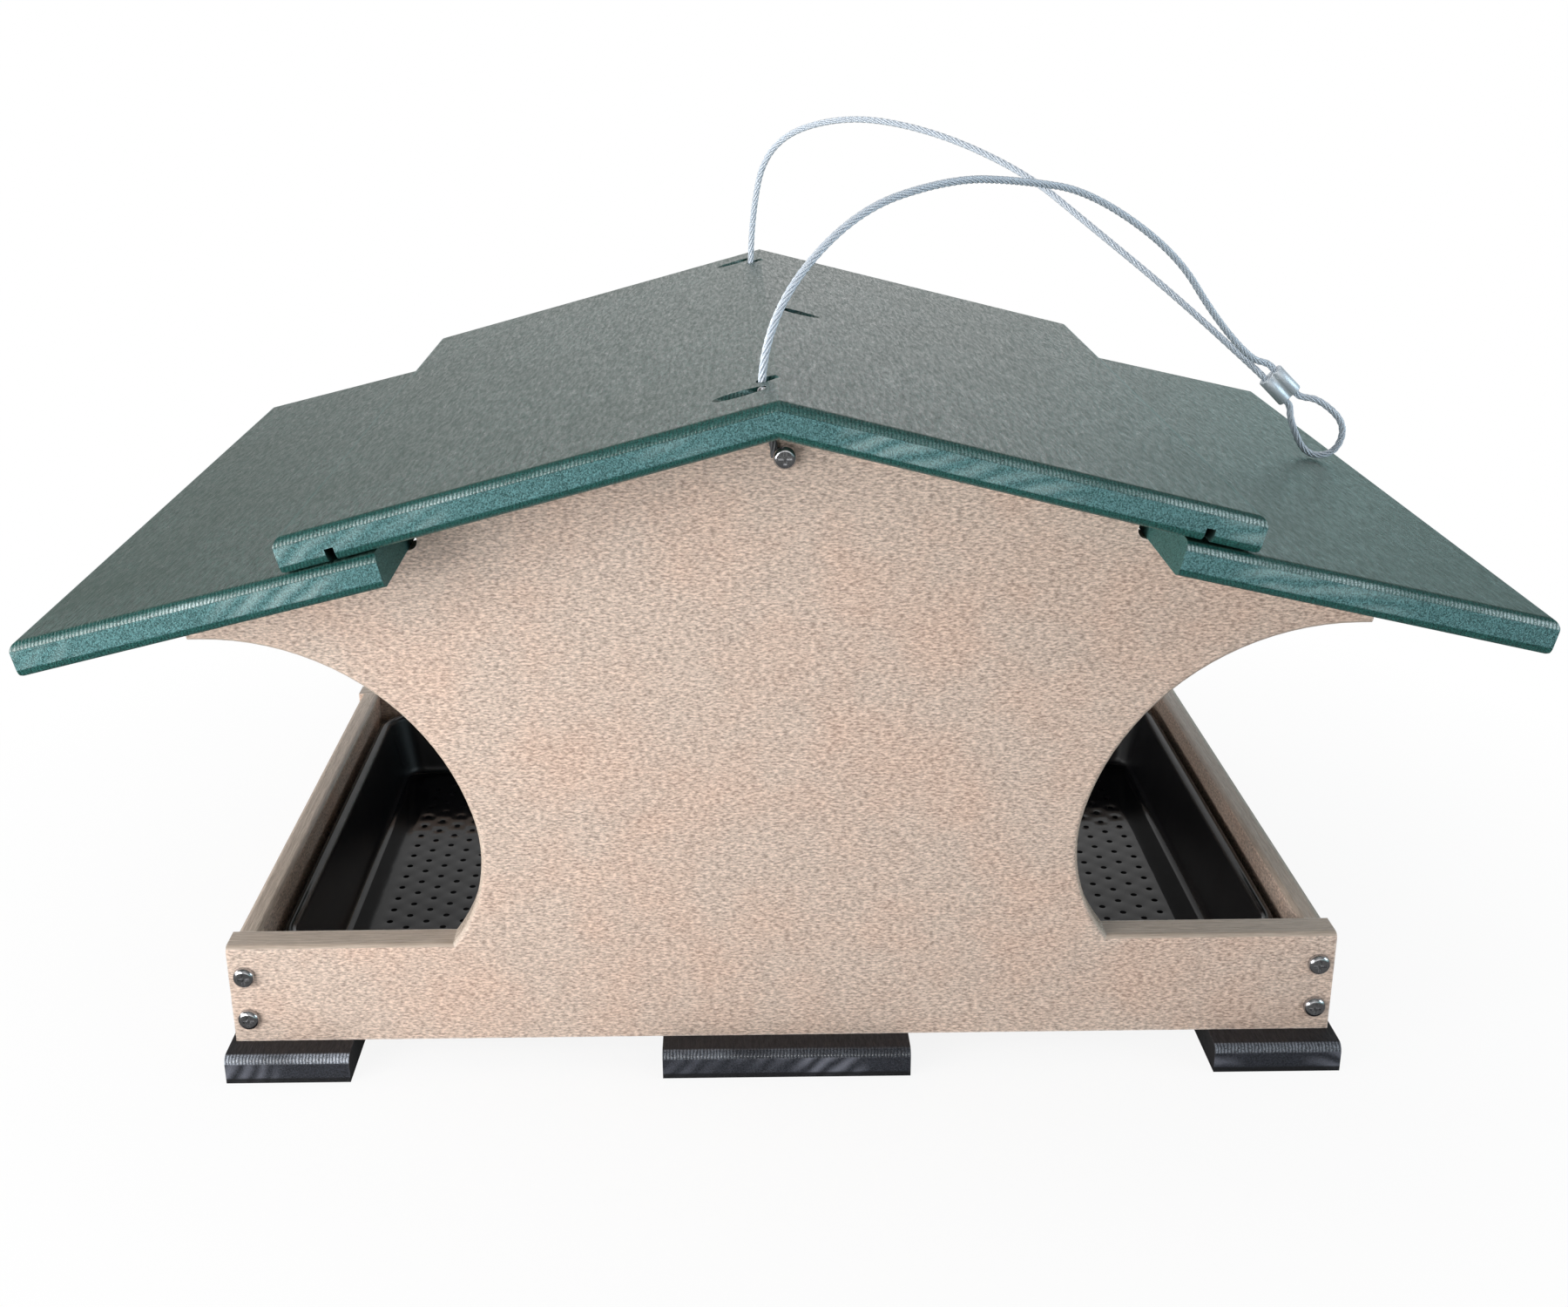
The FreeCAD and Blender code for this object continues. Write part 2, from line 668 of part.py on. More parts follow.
lower_corners = [
    ("0", "0"),
    ("lower_length", "0"),
    ("lower_length", "-board_thickness"),
    ("0", "-board_thickness"),
]
for level, slope, origin_x, origin_z in (
    ("upper", "roof_slope", "0", "ridge_z"),
    ("lower", "lower_slope", "lower_x", "lower_z"),
):
    for name, side in (("left", LEFT), ("right", RIGHT)):
        label = f"roof_{level}_{name}"
        corners = lower_corners
        if level == "upper":
            corners = upper_corners("_left" if side == LEFT else "")
        body = board(label, mirrored(corners, side), "roof_depth")
        body.Placement.Rotation = FreeCAD.Rotation(vector(0, 1, 0), side * number(slope))
        if origin_x != "0":
            body.setExpression("Placement.Base.x", cell(origin_x if side > 0 else flip(origin_x)))
        body.setExpression("Placement.Base.z", f"Sizes.slat_thickness + {cell(origin_z)}")
        outer = number(corners[1][0])
        round_edges(
            body, "roof_soften",
            lambda p: close(p.z, -thickness) and close(abs(p.x), outer),
            "Chamfer", "Size")
        round_edges(
            body, "roof_round",
            lambda p: close(p.z, 0) and (close(abs(p.y), roof_end) or close(abs(p.x), outer))
            or close(p.z, -thickness) and close(abs(p.y), roof_end))
        drills = [
            driven(flat_screw(number("lap_screw_length"), slack), p, lap_up[side])
            for p in lap_points[side]
        ]
        if level == "upper":
            drills += cable_holes
            for toe_side, point, along in toe_points:
                drills.append(driven(shank(number("toe_screw_length"), slack), point, along))
                if toe_side != side:
                    drills.append(driven(pocket, point, along))
        bored(label, body, drills)

# Screws, grouped by the joint they make

for name, end in (("front", FRONT), ("back", BACK)):
    rail_screw = pan_screw(number("rail_screw_length"))
    shaped("rail_screws_" + name, Part.makeCompound(
        [driven(rail_screw, p, inward(end)) for p in rail_screw_points[end]]))
    shaped(
        "anchor_screw_" + name,
        driven(pan_screw(number("anchor_length")), anchor_points[end], inward(end)))
slat_screw = flat_screw(number("slat_screw_length"))
shaped("slat_screws", Part.makeCompound(
    [driven(slat_screw, p, up) for points in slat_screw_points.values() for p in points]))
toe_screw = pan_screw(number("toe_screw_length"))
shaped("toe_screws", Part.makeCompound(
    [driven(toe_screw, point, along) for _, point, along in toe_points]))
lap_screw = flat_screw(number("lap_screw_length"))
for name, side in (("left", LEFT), ("right", RIGHT)):
    shaped("lap_screws_" + name, Part.makeCompound(
        [driven(lap_screw, p, lap_up[side]) for p in lap_points[side]]))

# Hanger cable: an end under each anchor screw, a strand out of each ridge hole, and an eye that
# lies on the right side of the roof, with a double sleeve pressed over both strands


def cable_tube(label, points):
    """round tube along straight runs that tangent arcs join"""
    edges = []
    radii = []
    spot = points[0]
    for before, corner, after in zip(points, points[1:], points[2:]):
        back = before - corner
        ahead = after - corner
        half_turn = (math.pi - back.getAngle(ahead)) / 2
        reach = 0.45 * min(back.Length, ahead.Length)
        radii.append(reach / math.tan(half_turn))
        back.normalize()
        ahead.normalize()
        enter = corner + back * reach
        leave = corner + ahead * reach
        inside = (back + ahead).normalize()
        bulge = radii[-1] / math.cos(half_turn) - radii[-1]
        edges.append(Part.LineSegment(spot, enter).toShape())
        edges.append(Part.Arc(enter, corner + inside * bulge, leave).toShape())
        spot = leave
    edges.append(Part.LineSegment(spot, points[-1]).toShape())
    path = Part.Wire(edges)
    section = Part.Wire([Part.makeCircle(cable_radius, points[0], points[1] - points[0])])
    tube = path.makePipeShell([section], True, False)
    expected = math.pi * cable_radius ** 2 * path.Length
    print(label, "length", round(path.Length, 1), "volume ratio", round(tube.Volume / expected, 4),
          "radii", [round(r, 1) for r in radii])
    return shaped(label, tube)


hole_x = -number("cable_start")
join_z = ridge - thickness / 2
for name, end in (("front", FRONT), ("back", BACK)):
    beside = anchor_x - number("screw_diameter") / 2 - cable_radius - number("cable_slip")
    against = end * (half_depth + cable_radius + number("cable_slip"))
    cable_tube("cable_end_" + name, [
        vector(hole_x, end * cable_y, join_z),
        vector(hole_x, end * cable_y, join_z - number("tail_drop")),
        vector(beside, against, anchor_z + number("tail_above")),
        vector(beside, against, anchor_z - number("tail_below")),
    ])

# where the eye rests on the right lower board, and the sleeve's middle and slant above it
eye_rest = on_lower(RIGHT, number("lower_length") - number("eye_setback"), 0, number("eye_y"))
sleeve_middle = eye_rest + vector(-20.5, 0, 34.0)
sleeve_axis = vector(1, 0, -1).normalize()
sleeve_across = vector(1, 0, 1).normalize() * (number("sleeve_pitch") / 2)
half_sleeve = sleeve_axis * (number("sleeve_length") / 2)
front_in = sleeve_middle - half_sleeve + sleeve_across
back_in = sleeve_middle - half_sleeve - sleeve_across

strand_routes = {
    "front": [
        (26, -123, 52), (65, -91, 60), (96, -58, 55.5), (128, -28, 48), (169, -4, 20.5),
        (191, 9, -9.5), (210, 17, -29),
    ],
    "back": [
        (3, 138, 57), (38, 120, 70), (78, 99, 64), (118, 76, 46.5), (143, 54, 26), (178, 32, -2.5),
    ],
}
for (name, route), end, sleeve_end in zip(
        strand_routes.items(), (FRONT, BACK), (front_in, back_in)):
    start = vector(hole_x, end * cable_y, join_z)
    cable_tube(
        "cable_strand_" + name,
        [start, start + up * number("strand_rise")]
        + [vector(x, y, ridge + rise) for x, y, rise in route]
        + [sleeve_end - sleeve_axis * number("strand_lead"), sleeve_end])

front_out = sleeve_middle + half_sleeve + sleeve_across
back_out = sleeve_middle + half_sleeve - sleeve_across
eye_route = [(-14.6, 18.2), (-6.4, 1.9), (7.0, 2.9), (10.2, 16.3), (-2.5, 27.5)]
cable_tube(
    "cable_eye",
    [back_out, back_out + sleeve_axis * number("eye_lead_back")]
    + [eye_rest + vector(x, 0, z) for x, z in eye_route]
    + [front_out + sleeve_axis * number("eye_lead_front"), front_out])

barrels = [
    Part.makeCylinder(
        number("sleeve_barrel") / 2, number("sleeve_length"),
        sleeve_middle - half_sleeve + sleeve_across * turn, sleeve_axis)
    for turn in (-1, 1)
]
shaped("cable_sleeve", barrels[0].fuse(barrels[1]).removeSplitter())

# Check every sub-part, then write it

doc.recompute()
NODES = (
    [f"end_panel_{end}" for end in ("front", "back")]
    + [f"side_rail_{side}" for side in ("left", "right")]
    + ["slat_left", "slat_center", "slat_right", "seed_tray"]
    + [f"roof_{level}_{side}" for level in ("upper", "lower") for side in ("left", "right")]
    + [f"{kind}_{end}" for kind in ("rail_screws", "anchor_screw") for end in ("front", "back")]
    + ["slat_screws", "toe_screws", "lap_screws_left", "lap_screws_right"]
    + [f"cable_{kind}_{end}" for kind in ("end", "strand") for end in ("front", "back")]
    + ["cable_eye", "cable_sleeve"]
)
for item in doc.Objects:
    if "Invalid" in item.State or "Error" in item.State:
        raise RuntimeError(f"{item.Name} did not build: {item.State}")
for node in NODES:
    item = doc.getObject(node)
    if item.Shape.isNull() or not item.Shape.isValid() or item.Shape.Volume <= 0:
        raise RuntimeError(f"{node} has no sound shape")
    item.Shape.exportStep(f"parts/{node}.step")
    print(node, len(item.Shape.Solids), "solid", round(item.Shape.Volume / 1000, 1), "cm3")
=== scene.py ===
from math import asin, cos, pi, radians, sin

import bmesh
import bpy
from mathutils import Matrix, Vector


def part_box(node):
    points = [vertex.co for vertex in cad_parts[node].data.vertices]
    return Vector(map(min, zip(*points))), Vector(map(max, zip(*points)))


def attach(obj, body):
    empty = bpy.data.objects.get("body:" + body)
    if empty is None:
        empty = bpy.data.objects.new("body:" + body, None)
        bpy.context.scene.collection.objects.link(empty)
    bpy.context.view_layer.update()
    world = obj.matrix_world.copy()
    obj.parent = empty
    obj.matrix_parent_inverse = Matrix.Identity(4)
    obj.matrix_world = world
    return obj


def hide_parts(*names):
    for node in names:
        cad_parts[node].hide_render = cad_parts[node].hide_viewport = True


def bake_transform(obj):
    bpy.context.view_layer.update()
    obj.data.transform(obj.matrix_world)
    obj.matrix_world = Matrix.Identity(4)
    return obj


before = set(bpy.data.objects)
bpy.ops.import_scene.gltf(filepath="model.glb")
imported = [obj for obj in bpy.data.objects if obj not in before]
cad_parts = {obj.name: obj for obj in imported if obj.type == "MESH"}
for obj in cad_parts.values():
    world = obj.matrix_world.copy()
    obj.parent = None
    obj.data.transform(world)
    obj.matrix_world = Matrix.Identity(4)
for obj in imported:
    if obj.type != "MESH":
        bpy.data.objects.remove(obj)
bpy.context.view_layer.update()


# View. The photograph looks at the front end panel from a little above the ridge, close by,
# with the lens turned down by twenty degrees and the whole roof just inside the frame.
lens = bpy.data.cameras.new("view")
lens.sensor_fit = "HORIZONTAL"
lens.sensor_width = 36
lens.lens = 41.04
lens.shift_x = 0.0444
lens.shift_y = -0.005
lens.clip_start = 0.01
view = bpy.data.objects.new("view", lens)
view.location = (-0.01506, -0.75508, 0.39811)
view.rotation_euler = (radians(70.077), radians(1.025), radians(0.369))
bpy.context.collection.objects.link(view)
bpy.context.scene.camera = view
bpy.context.scene.view_settings.view_transform = "Standard"


# Room. A white studio: even light from all round, five soft lamps, the right one cool, and a
# pale floor that stays white to the eye, keeps a faint shadow under the feeder, and looks dull
# in reflections.
def place_node(tree, kind, feeds=None, **settings):
    """node in a tree, with its settings, and with values or other nodes' sockets fed in"""
    node = tree.nodes.new("ShaderNode" + kind)
    for name, value in settings.items():
        setattr(node, name, value)
    for name, value in (feeds or {}).items():
        if isinstance(value, bpy.types.NodeSocket):
            tree.links.new(value, node.inputs[name])
        else:
            node.inputs[name].default_value = value
    return node


def work_out(tree, way, *values):
    """plain arithmetic on values and sockets, such as a product or a size without its sign"""
    return place_node(tree, "Math", dict(enumerate(values)), operation=way).outputs[0]


def stretch_range(tree, value, old, new=(0.0, 1.0), **settings):
    """value moved from one range to another, and held inside it"""
    return place_node(tree, "MapRange", {
        "Value": value, "From Min": old[0], "From Max": old[1], "To Min": new[0], "To Max": new[1]},
        **settings).outputs[0]


def mix_value(tree, share, first, second):
    """value between two others, by a mask"""
    # a Mix node takes plain values at its sockets 2 and 3
    return place_node(tree, "Mix", {0: share, 2: first, 3: second}).outputs[0]


def mix_tint(tree, share, first, second, way="MIX"):
    """colour between two others, by a mask or a plain share"""
    # a Mix node takes colours at its sockets 6 and 7, and gives one at its output 2
    return place_node(tree, "Mix", {0: share, 6: first, 7: second}, data_type="RGBA",
                      blend_type=way).outputs[2]


def seen_straight(tree):
    """1 on rays from the eye, off a mirror or through glass, and 0 on rays that light a surface"""
    ray = place_node(tree, "LightPath").outputs
    mirror = work_out(tree, "MAXIMUM", ray["Is Camera Ray"], ray["Is Glossy Ray"])
    return work_out(tree, "MAXIMUM", mirror, ray["Is Transmission Ray"])


sky = bpy.data.worlds.new("white_room")
sky.use_nodes = True
sky_tree = sky.node_tree
sky_tree.nodes.clear()
sky_ray = place_node(sky_tree, "LightPath").outputs
sky_spot = place_node(sky_tree, "TexCoord").outputs["Generated"]
sky_way = place_node(sky_tree, "SeparateXYZ", {0: sky_spot}).outputs

# in reflections the sky is brightest low down, ahead and behind
sky_middle = 0.05
sky_height = stretch_range(sky_tree, sky_way["Z"], (0.08, 0.6), (1.42, 0.52))
sky_aside = work_out(sky_tree, "SUBTRACT", sky_way["X"], sky_middle)
sky_side = work_out(sky_tree, "ABSOLUTE", sky_aside)
sky_breadth = stretch_range(sky_tree, sky_side, (0.05, 0.45), (1.0, 0.4))
sky_mirror = work_out(sky_tree, "MULTIPLY", sky_height, sky_breadth)

# it lights surfaces evenly, and is plain white to the eye
sky_light = 0.29
sky_bright = 1.0
sky_lit = mix_value(sky_tree, seen_straight(sky_tree), sky_light, sky_mirror)
sky_level = mix_value(sky_tree, sky_ray["Is Camera Ray"], sky_lit, sky_bright)

# its low right corner is teal in reflections
sky_white = (1, 1, 1, 1)
sky_teal = (0.86, 1.3, 1.32, 1)
sky_right = stretch_range(sky_tree, sky_way["X"], (0.26, 0.38))
sky_low = stretch_range(sky_tree, sky_way["Z"], (0.28, 0.16))
sky_corner = work_out(sky_tree, "MULTIPLY", sky_right, sky_low)
sky_cast = work_out(sky_tree, "MULTIPLY", sky_corner, sky_ray["Is Glossy Ray"])
sky_tint = mix_tint(sky_tree, sky_cast, sky_white, sky_teal)
sky_glow = place_node(sky_tree, "Background", {"Color": sky_tint, "Strength": sky_level})
place_node(sky_tree, "OutputWorld", {"Surface": sky_glow.outputs[0]})
bpy.context.scene.world = sky

lamp_aim = Vector((0, 0, 0.15))
lamp_white = (1.0, 1.0, 1.0)
lamp_cool = (0.74, 0.89, 1.0)
for lamp_name, lamp_place, lamp_wide, lamp_tall, lamp_power, lamp_colour in (
        ("lamp_front", (-1.15, -2.3, 0.45), 0.45, 0.35, 11.8, lamp_white),
        ("lamp_near", (-0.75, -0.65, 0.30), 0.5, 0.5, 5.8, lamp_white),
        ("lamp_left", (-1.3, 0.15, 0.48), 0.8, 0.5, 6, lamp_white),
        ("lamp_right", (1.25, -0.45, 0.52), 0.8, 0.5, 4.6, lamp_cool),
        ("lamp_over", (0.3, 0.9, 2.3), 1.6, 1.6, 9, lamp_white)):
    lamp = bpy.data.lights.new(lamp_name, "AREA")
    lamp.shape = "RECTANGLE"
    lamp.size = lamp_wide
    lamp.size_y = lamp_tall
    lamp.energy = lamp_power
    lamp.color = lamp_colour
    lamp_stand = bpy.data.objects.new(lamp_name, lamp)
    lamp_stand.location = lamp_place
    lamp_stand.rotation_euler = (lamp_aim - Vector(lamp_place)).to_track_quat("-Z", "Y").to_euler()
    bpy.context.collection.objects.link(lamp_stand)


def place_piece(name, build):
    """object in the scene, from a shape that is built"""
    mesh = bpy.data.meshes.new(name)
    build.to_mesh(mesh)
    build.free()
    piece = bpy.data.objects.new(name, mesh)
    bpy.context.collection.objects.link(piece)
    return piece


def empty_finish(name):
    """material with nothing in it yet, and its node tree"""
    finish = bpy.data.materials.new(name)
    finish.use_nodes = True
    finish.node_tree.nodes.clear()
    return finish, finish.node_tree


floor_radius = 4.0
floor_sides = 96
floor_build = bmesh.new()
bmesh.ops.create_circle(floor_build, cap_ends=True, segments=floor_sides, radius=floor_radius)
floor = place_piece("floor", floor_build)

floor_paint, floor_tree = empty_finish("floor_white")
floor_ray = place_node(floor_tree, "LightPath").outputs
floor_spot = place_node(floor_tree, "TexCoord").outputs["Object"]
floor_reach = place_node(floor_tree, "VectorMath", {0: floor_spot}, operation="LENGTH").outputs["Value"]
floor_fade = stretch_range(floor_tree, floor_reach, (0.15, 0.5), (0.88, 1.0))
floor_share = work_out(floor_tree, "MULTIPLY", floor_ray["Is Camera Ray"], floor_fade)
floor_dull = place_node(floor_tree, "BsdfDiffuse", {"Color": (0.92, 0.92, 0.92, 1)}).outputs[0]
floor_glow = place_node(floor_tree, "Emission", {"Color": (1, 1, 1, 1), "Strength": 1.0}).outputs[0]
floor_dim = place_node(floor_tree, "Emission", {"Color": (0.16, 0.16, 0.16, 1), "Strength": 1.0}).outputs[0]
floor_eye = place_node(floor_tree, "MixShader", {0: floor_share, 1: floor_dull, 2: floor_glow}).outputs[0]
floor_mix = place_node(floor_tree, "MixShader", {0: floor_ray["Is Glossy Ray"], 1: floor_eye, 2: floor_dim})
place_node(floor_tree, "OutputMaterial", {"Surface": floor_mix.outputs[0]})
floor.data.materials.append(floor_paint)


# End panels. Two boards of recycled plastic lumber in a pinkish taupe, with a fine pebbled skin
# drawn out along the board, and smoother, greyer edges where the router cut the scoops and walls.
def shared_effect(name, feeds, results):
    """node group, with the sockets that feed it and the sockets that take its results"""
    group = bpy.data.node_groups.new(name, "ShaderNodeTree")
    for label, value in feeds.items():
        kind = "NodeSocketFloat" if isinstance(value, float) else "NodeSocketVector"
        socket = group.interface.new_socket(label, in_out="INPUT", socket_type=kind)
        socket.default_value = value
    for label in results:
        group.interface.new_socket(label, in_out="OUTPUT", socket_type="NodeSocketFloat")
    return group, group.nodes.new("NodeGroupInput").outputs, group.nodes.new("NodeGroupOutput").inputs


def use_effect(tree, effect, feeds):
    """results of a shared effect, put to use in a finish"""
    return place_node(tree, "Group", feeds, node_tree=effect).outputs


def noise(tree, spot, scale, detail, roughness=0.5):
    """soft random value between nought and one"""
    return place_node(tree, "TexNoise", {
        "Vector": spot, "Scale": scale, "Detail": detail, "Roughness": roughness}).outputs["Fac"]


def dot_product(tree, first, second):
    """how far two directions agree"""
    return place_node(tree, "VectorMath", {0: first, 1: second}, operation="DOT_PRODUCT").outputs["Value"]


# pebbled skin of an extruded board: flecks drawn out along it, wide clouds of tint, round
# pebbles, and a few small pits
skin_effect, skin_in, skin_out = shared_effect(
    "board_skin", {"Place": (0, 0, 0), "Fleck Length": 0.0026, "Fleck Width": 0.0008, "Cloud Size": 0.03},
    ("Fleck", "Cloud", "Pebble", "Pit"))
pit_share = 0.6
fleck_along = work_out(skin_effect, "DIVIDE", 1.0, skin_in["Fleck Length"])
fleck_across = work_out(skin_effect, "DIVIDE", 1.0, skin_in["Fleck Width"])
fleck_stretch = place_node(skin_effect, "CombineXYZ", {
    "X": fleck_along, "Y": fleck_across, "Z": fleck_across}).outputs[0]
fleck_place = place_node(skin_effect, "VectorMath", {0: skin_in["Place"], 1: fleck_stretch},
                         operation="MULTIPLY").outputs[0]
cloud_scale = work_out(skin_effect, "DIVIDE", 1.0, skin_in["Cloud Size"])
pit_cells = place_node(skin_effect, "TexVoronoi", {"Vector": skin_in["Place"], "Scale": 75.0}).outputs
pit_pick = place_node(skin_effect, "SeparateXYZ", {0: pit_cells["Color"]}).outputs["X"]
pit_size = stretch_range(skin_effect, pit_pick, (0.6, 1.0), (0.0, 0.075))
pit_edge = work_out(skin_effect, "MULTIPLY", pit_size, pit_share)
for skin_label, skin_value in (
        ("Fleck", noise(skin_effect, fleck_place, scale=1.0, detail=2.5, roughness=0.62)),
        ("Cloud", noise(skin_effect, skin_in["Place"], scale=cloud_scale, detail=3.0, roughness=0.55)),
        ("Pebble", noise(skin_effect, fleck_place, scale=0.55, detail=3.5, roughness=0.7)),
        ("Pit", stretch_range(skin_effect, pit_cells["Distance"], (pit_size, pit_edge)))):
    skin_effect.links.new(skin_value, skin_out[skin_label])

# worn edges with a painted highlight: a broken pale line where two faces of a board meet
wear_highlight_effect, wear_highlight_in, wear_highlight_out = shared_effect(
    "edge_wear_and_highlight", {"Place": (0, 0, 0), "Reach": 0.0012, "Break": 350.0}, ("Wear And Highlight",))
edge_bevel = place_node(wear_highlight_effect, "Bevel", {"Radius": wear_highlight_in["Reach"]}, samples=4).outputs[0]
edge_face = place_node(wear_highlight_effect, "NewGeometry").outputs["True Normal"]
edge_mask = stretch_range(wear_highlight_effect, dot_product(wear_highlight_effect, edge_bevel, edge_face), (0.985, 0.80))
edge_noise = noise(wear_highlight_effect, wear_highlight_in["Place"], scale=wear_highlight_in["Break"], detail=2.0)
edge_break = stretch_range(wear_highlight_effect, edge_noise, (0.30, 0.60))
wear_highlight_effect.links.new(work_out(wear_highlight_effect, "MULTIPLY", edge_mask, edge_break), wear_highlight_out["Wear And Highlight"])

# which faces look along a given direction, either way, by the shape's own normals
facing_effect, facing_in, facing_out = shared_effect(
    "facing", {"Direction": (0, 1, 0), "Cosine": 0.8, "Soft": 0.12}, ("Mask",))
facing_normal = place_node(facing_effect, "TexCoord").outputs["Normal"]
facing_dot = dot_product(facing_effect, facing_normal, facing_in["Direction"])
facing_size = work_out(facing_effect, "ABSOLUTE", facing_dot)
facing_low = work_out(facing_effect, "SUBTRACT", facing_in["Cosine"], facing_in["Soft"])
facing_mask = stretch_range(facing_effect, facing_size, (facing_low, facing_in["Cosine"]),
                            interpolation_type="SMOOTHSTEP")
facing_effect.links.new(facing_mask, facing_out["Mask"])

# where nearly all of a noise's values lie
noise_span = (0.3, 0.7)


def start_finish(name):
    """material with its surface shader's sockets, ready for colour, gloss and relief"""
    finish, tree = empty_finish(name)
    shader = place_node(tree, "BsdfPrincipled")
    place_node(tree, "OutputMaterial", {"Surface": shader.outputs[0]})
    return finish, tree, shader.inputs


def emboss(tree, shader, height, strength, distance):
    """fine relief on a finish"""
    bump = place_node(tree, "Bump", {"Height": height, "Strength": strength, "Distance": distance})
    tree.links.new(bump.outputs[0], shader["Normal"])


def dress(names, finish):
    """CAD nodes get a finish in place of their own"""
    for name in names:
        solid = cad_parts[name]
        solid.data.materials.clear()
        solid.data.materials.append(finish)


def board_finish(name, along, face, tints):
    """board of one plastic: along turns the grain, face is where its pebbled skin was left on"""
    finish, tree, shader = start_finish(name)
    spot = place_node(tree, "TexCoord").outputs["Object"]
    turned = place_node(tree, "Mapping", {"Vector": spot, "Rotation": (0, 0, along)}).outputs[0]
    skin = use_effect(tree, skin_effect, {
        "Place": turned, "Fleck Length": 0.0020, "Fleck Width": 0.0007, "Cloud Size": 0.032})
    routed = use_effect(tree, skin_effect, {
        "Place": turned, "Fleck Length": 0.011, "Fleck Width": 0.0006, "Cloud Size": 0.02})
    wear_and_highlight = use_effect(tree, wear_highlight_effect, {"Place": spot})["Wear And Highlight"]
    kept = use_effect(tree, facing_effect, {"Direction": face, "Cosine": 0.9})["Mask"]

    # colour: flecked and blushed on the skin, streaked where the router cut, pale along worn edges with a
    # painted highlight
    wear_highlight_strength = 0.7
    fleck = stretch_range(tree, skin["Fleck"], (0.33, 0.67))
    cloud = stretch_range(tree, skin["Cloud"], (0.40, 0.68), (0.0, 0.6))
    pebbled = mix_tint(tree, fleck, tints["dark"], tints["light"])
    blushed = mix_tint(tree, cloud, pebbled, tints["blush"], "SOFT_LIGHT")
    streak = stretch_range(tree, routed["Fleck"], noise_span)
    cut = mix_tint(tree, streak, tints["cut_dark"], tints["cut_light"])
    both = mix_tint(tree, kept, cut, blushed)
    worn_highlight = work_out(tree, "MULTIPLY", wear_and_highlight, wear_highlight_strength)
    tree.links.new(mix_tint(tree, worn_highlight, both, tints["worn_highlight"]), shader["Base Color"])

    # gloss and relief: the skin is dull and pebbled, the cuts are smoother
    rough_skin = stretch_range(tree, skin["Pebble"], noise_span, (0.5, 0.66))
    rough_cut = stretch_range(tree, routed["Pebble"], noise_span, (0.22, 0.34))
    tree.links.new(mix_value(tree, kept, rough_cut, rough_skin), shader["Roughness"])
    lumps = mix_value(tree, kept, routed["Pebble"], skin["Pebble"])
    emboss(tree, shader, lumps, strength=0.45, distance=0.0005)
    return finish


taupe_tints = {
    "dark": (0.33, 0.253, 0.205, 1), "light": (0.86, 0.688, 0.574, 1), "blush": (0.60, 0.46, 0.42, 1),
    "cut_dark": (0.44, 0.355, 0.285, 1), "cut_light": (0.63, 0.52, 0.43, 1), "worn_highlight": (0.86, 0.80, 0.74, 1)}
taupe_panel = board_finish("taupe_panel", 0.0, (0, 1, 0), taupe_tints)
dress(["end_panel_front", "end_panel_back"], taupe_panel)


# Side rails. Two strips of the same taupe board set on edge between the panels, their top
# edges rounded over, screwed through the panels from outside.
taupe_rail = board_finish("taupe_rail", radians(90), (1, 0, 0), taupe_tints)
dress(["side_rail_left", "side_rail_right"], taupe_rail)


# Slats. Three black boards of the same plastic under the frame, which the tray lies on and the
# feeder stands on, with rounded top edges that the router left faintly fluted.

# painted shade in tight corners: holes, pockets and grooves are darkened where little light reaches
corner_shade_effect, nook_in, nook_out = shared_effect("painted_corner_shade", {"Reach": 0.006}, ("Shade",))
nook_light = place_node(corner_shade_effect, "AmbientOcclusion", {"Distance": nook_in["Reach"]},
                        samples=6, only_local=True).outputs["AO"]
corner_shade_effect.links.new(stretch_range(corner_shade_effect, nook_light, (0.85, 0.35)), nook_out["Shade"])

# sawn ends: bowed bands left by the blade, in patches, and a fine crumbly speckle
saw_effect, saw_in, saw_out = shared_effect(
    "saw_marks", {"Place": (0, 0, 0), "Spacing": 0.008, "Crumb": 0.00045}, ("Band", "Speckle"))
# a wave texture at scale 1 has one ring to every 0.314 m
wave_length = 0.314
saw_bow = place_node(saw_effect, "Mapping", {
    "Vector": saw_in["Place"], "Location": (-0.16, 0.0, 0.16)}).outputs[0]
saw_scale = work_out(saw_effect, "DIVIDE", wave_length, saw_in["Spacing"])
saw_band = place_node(saw_effect, "TexWave", {
    "Vector": saw_bow, "Scale": saw_scale, "Distortion": 2.2, "Detail": 2.0, "Detail Scale": 1.4},
    wave_type="RINGS", rings_direction="Y").outputs["Fac"]
saw_patch = noise(saw_effect, saw_in["Place"], scale=24.0, detail=1.0)
saw_share = stretch_range(saw_effect, saw_patch, (0.46, 0.66))
crumb_scale = work_out(saw_effect, "DIVIDE", 1.0, saw_in["Crumb"])
saw_crumb = noise(saw_effect, saw_in["Place"], scale=crumb_scale, detail=2.0, roughness=0.6)
saw_effect.links.new(work_out(saw_effect, "MULTIPLY", saw_band, saw_share), saw_out["Band"])
saw_effect.links.new(saw_crumb, saw_out["Speckle"])


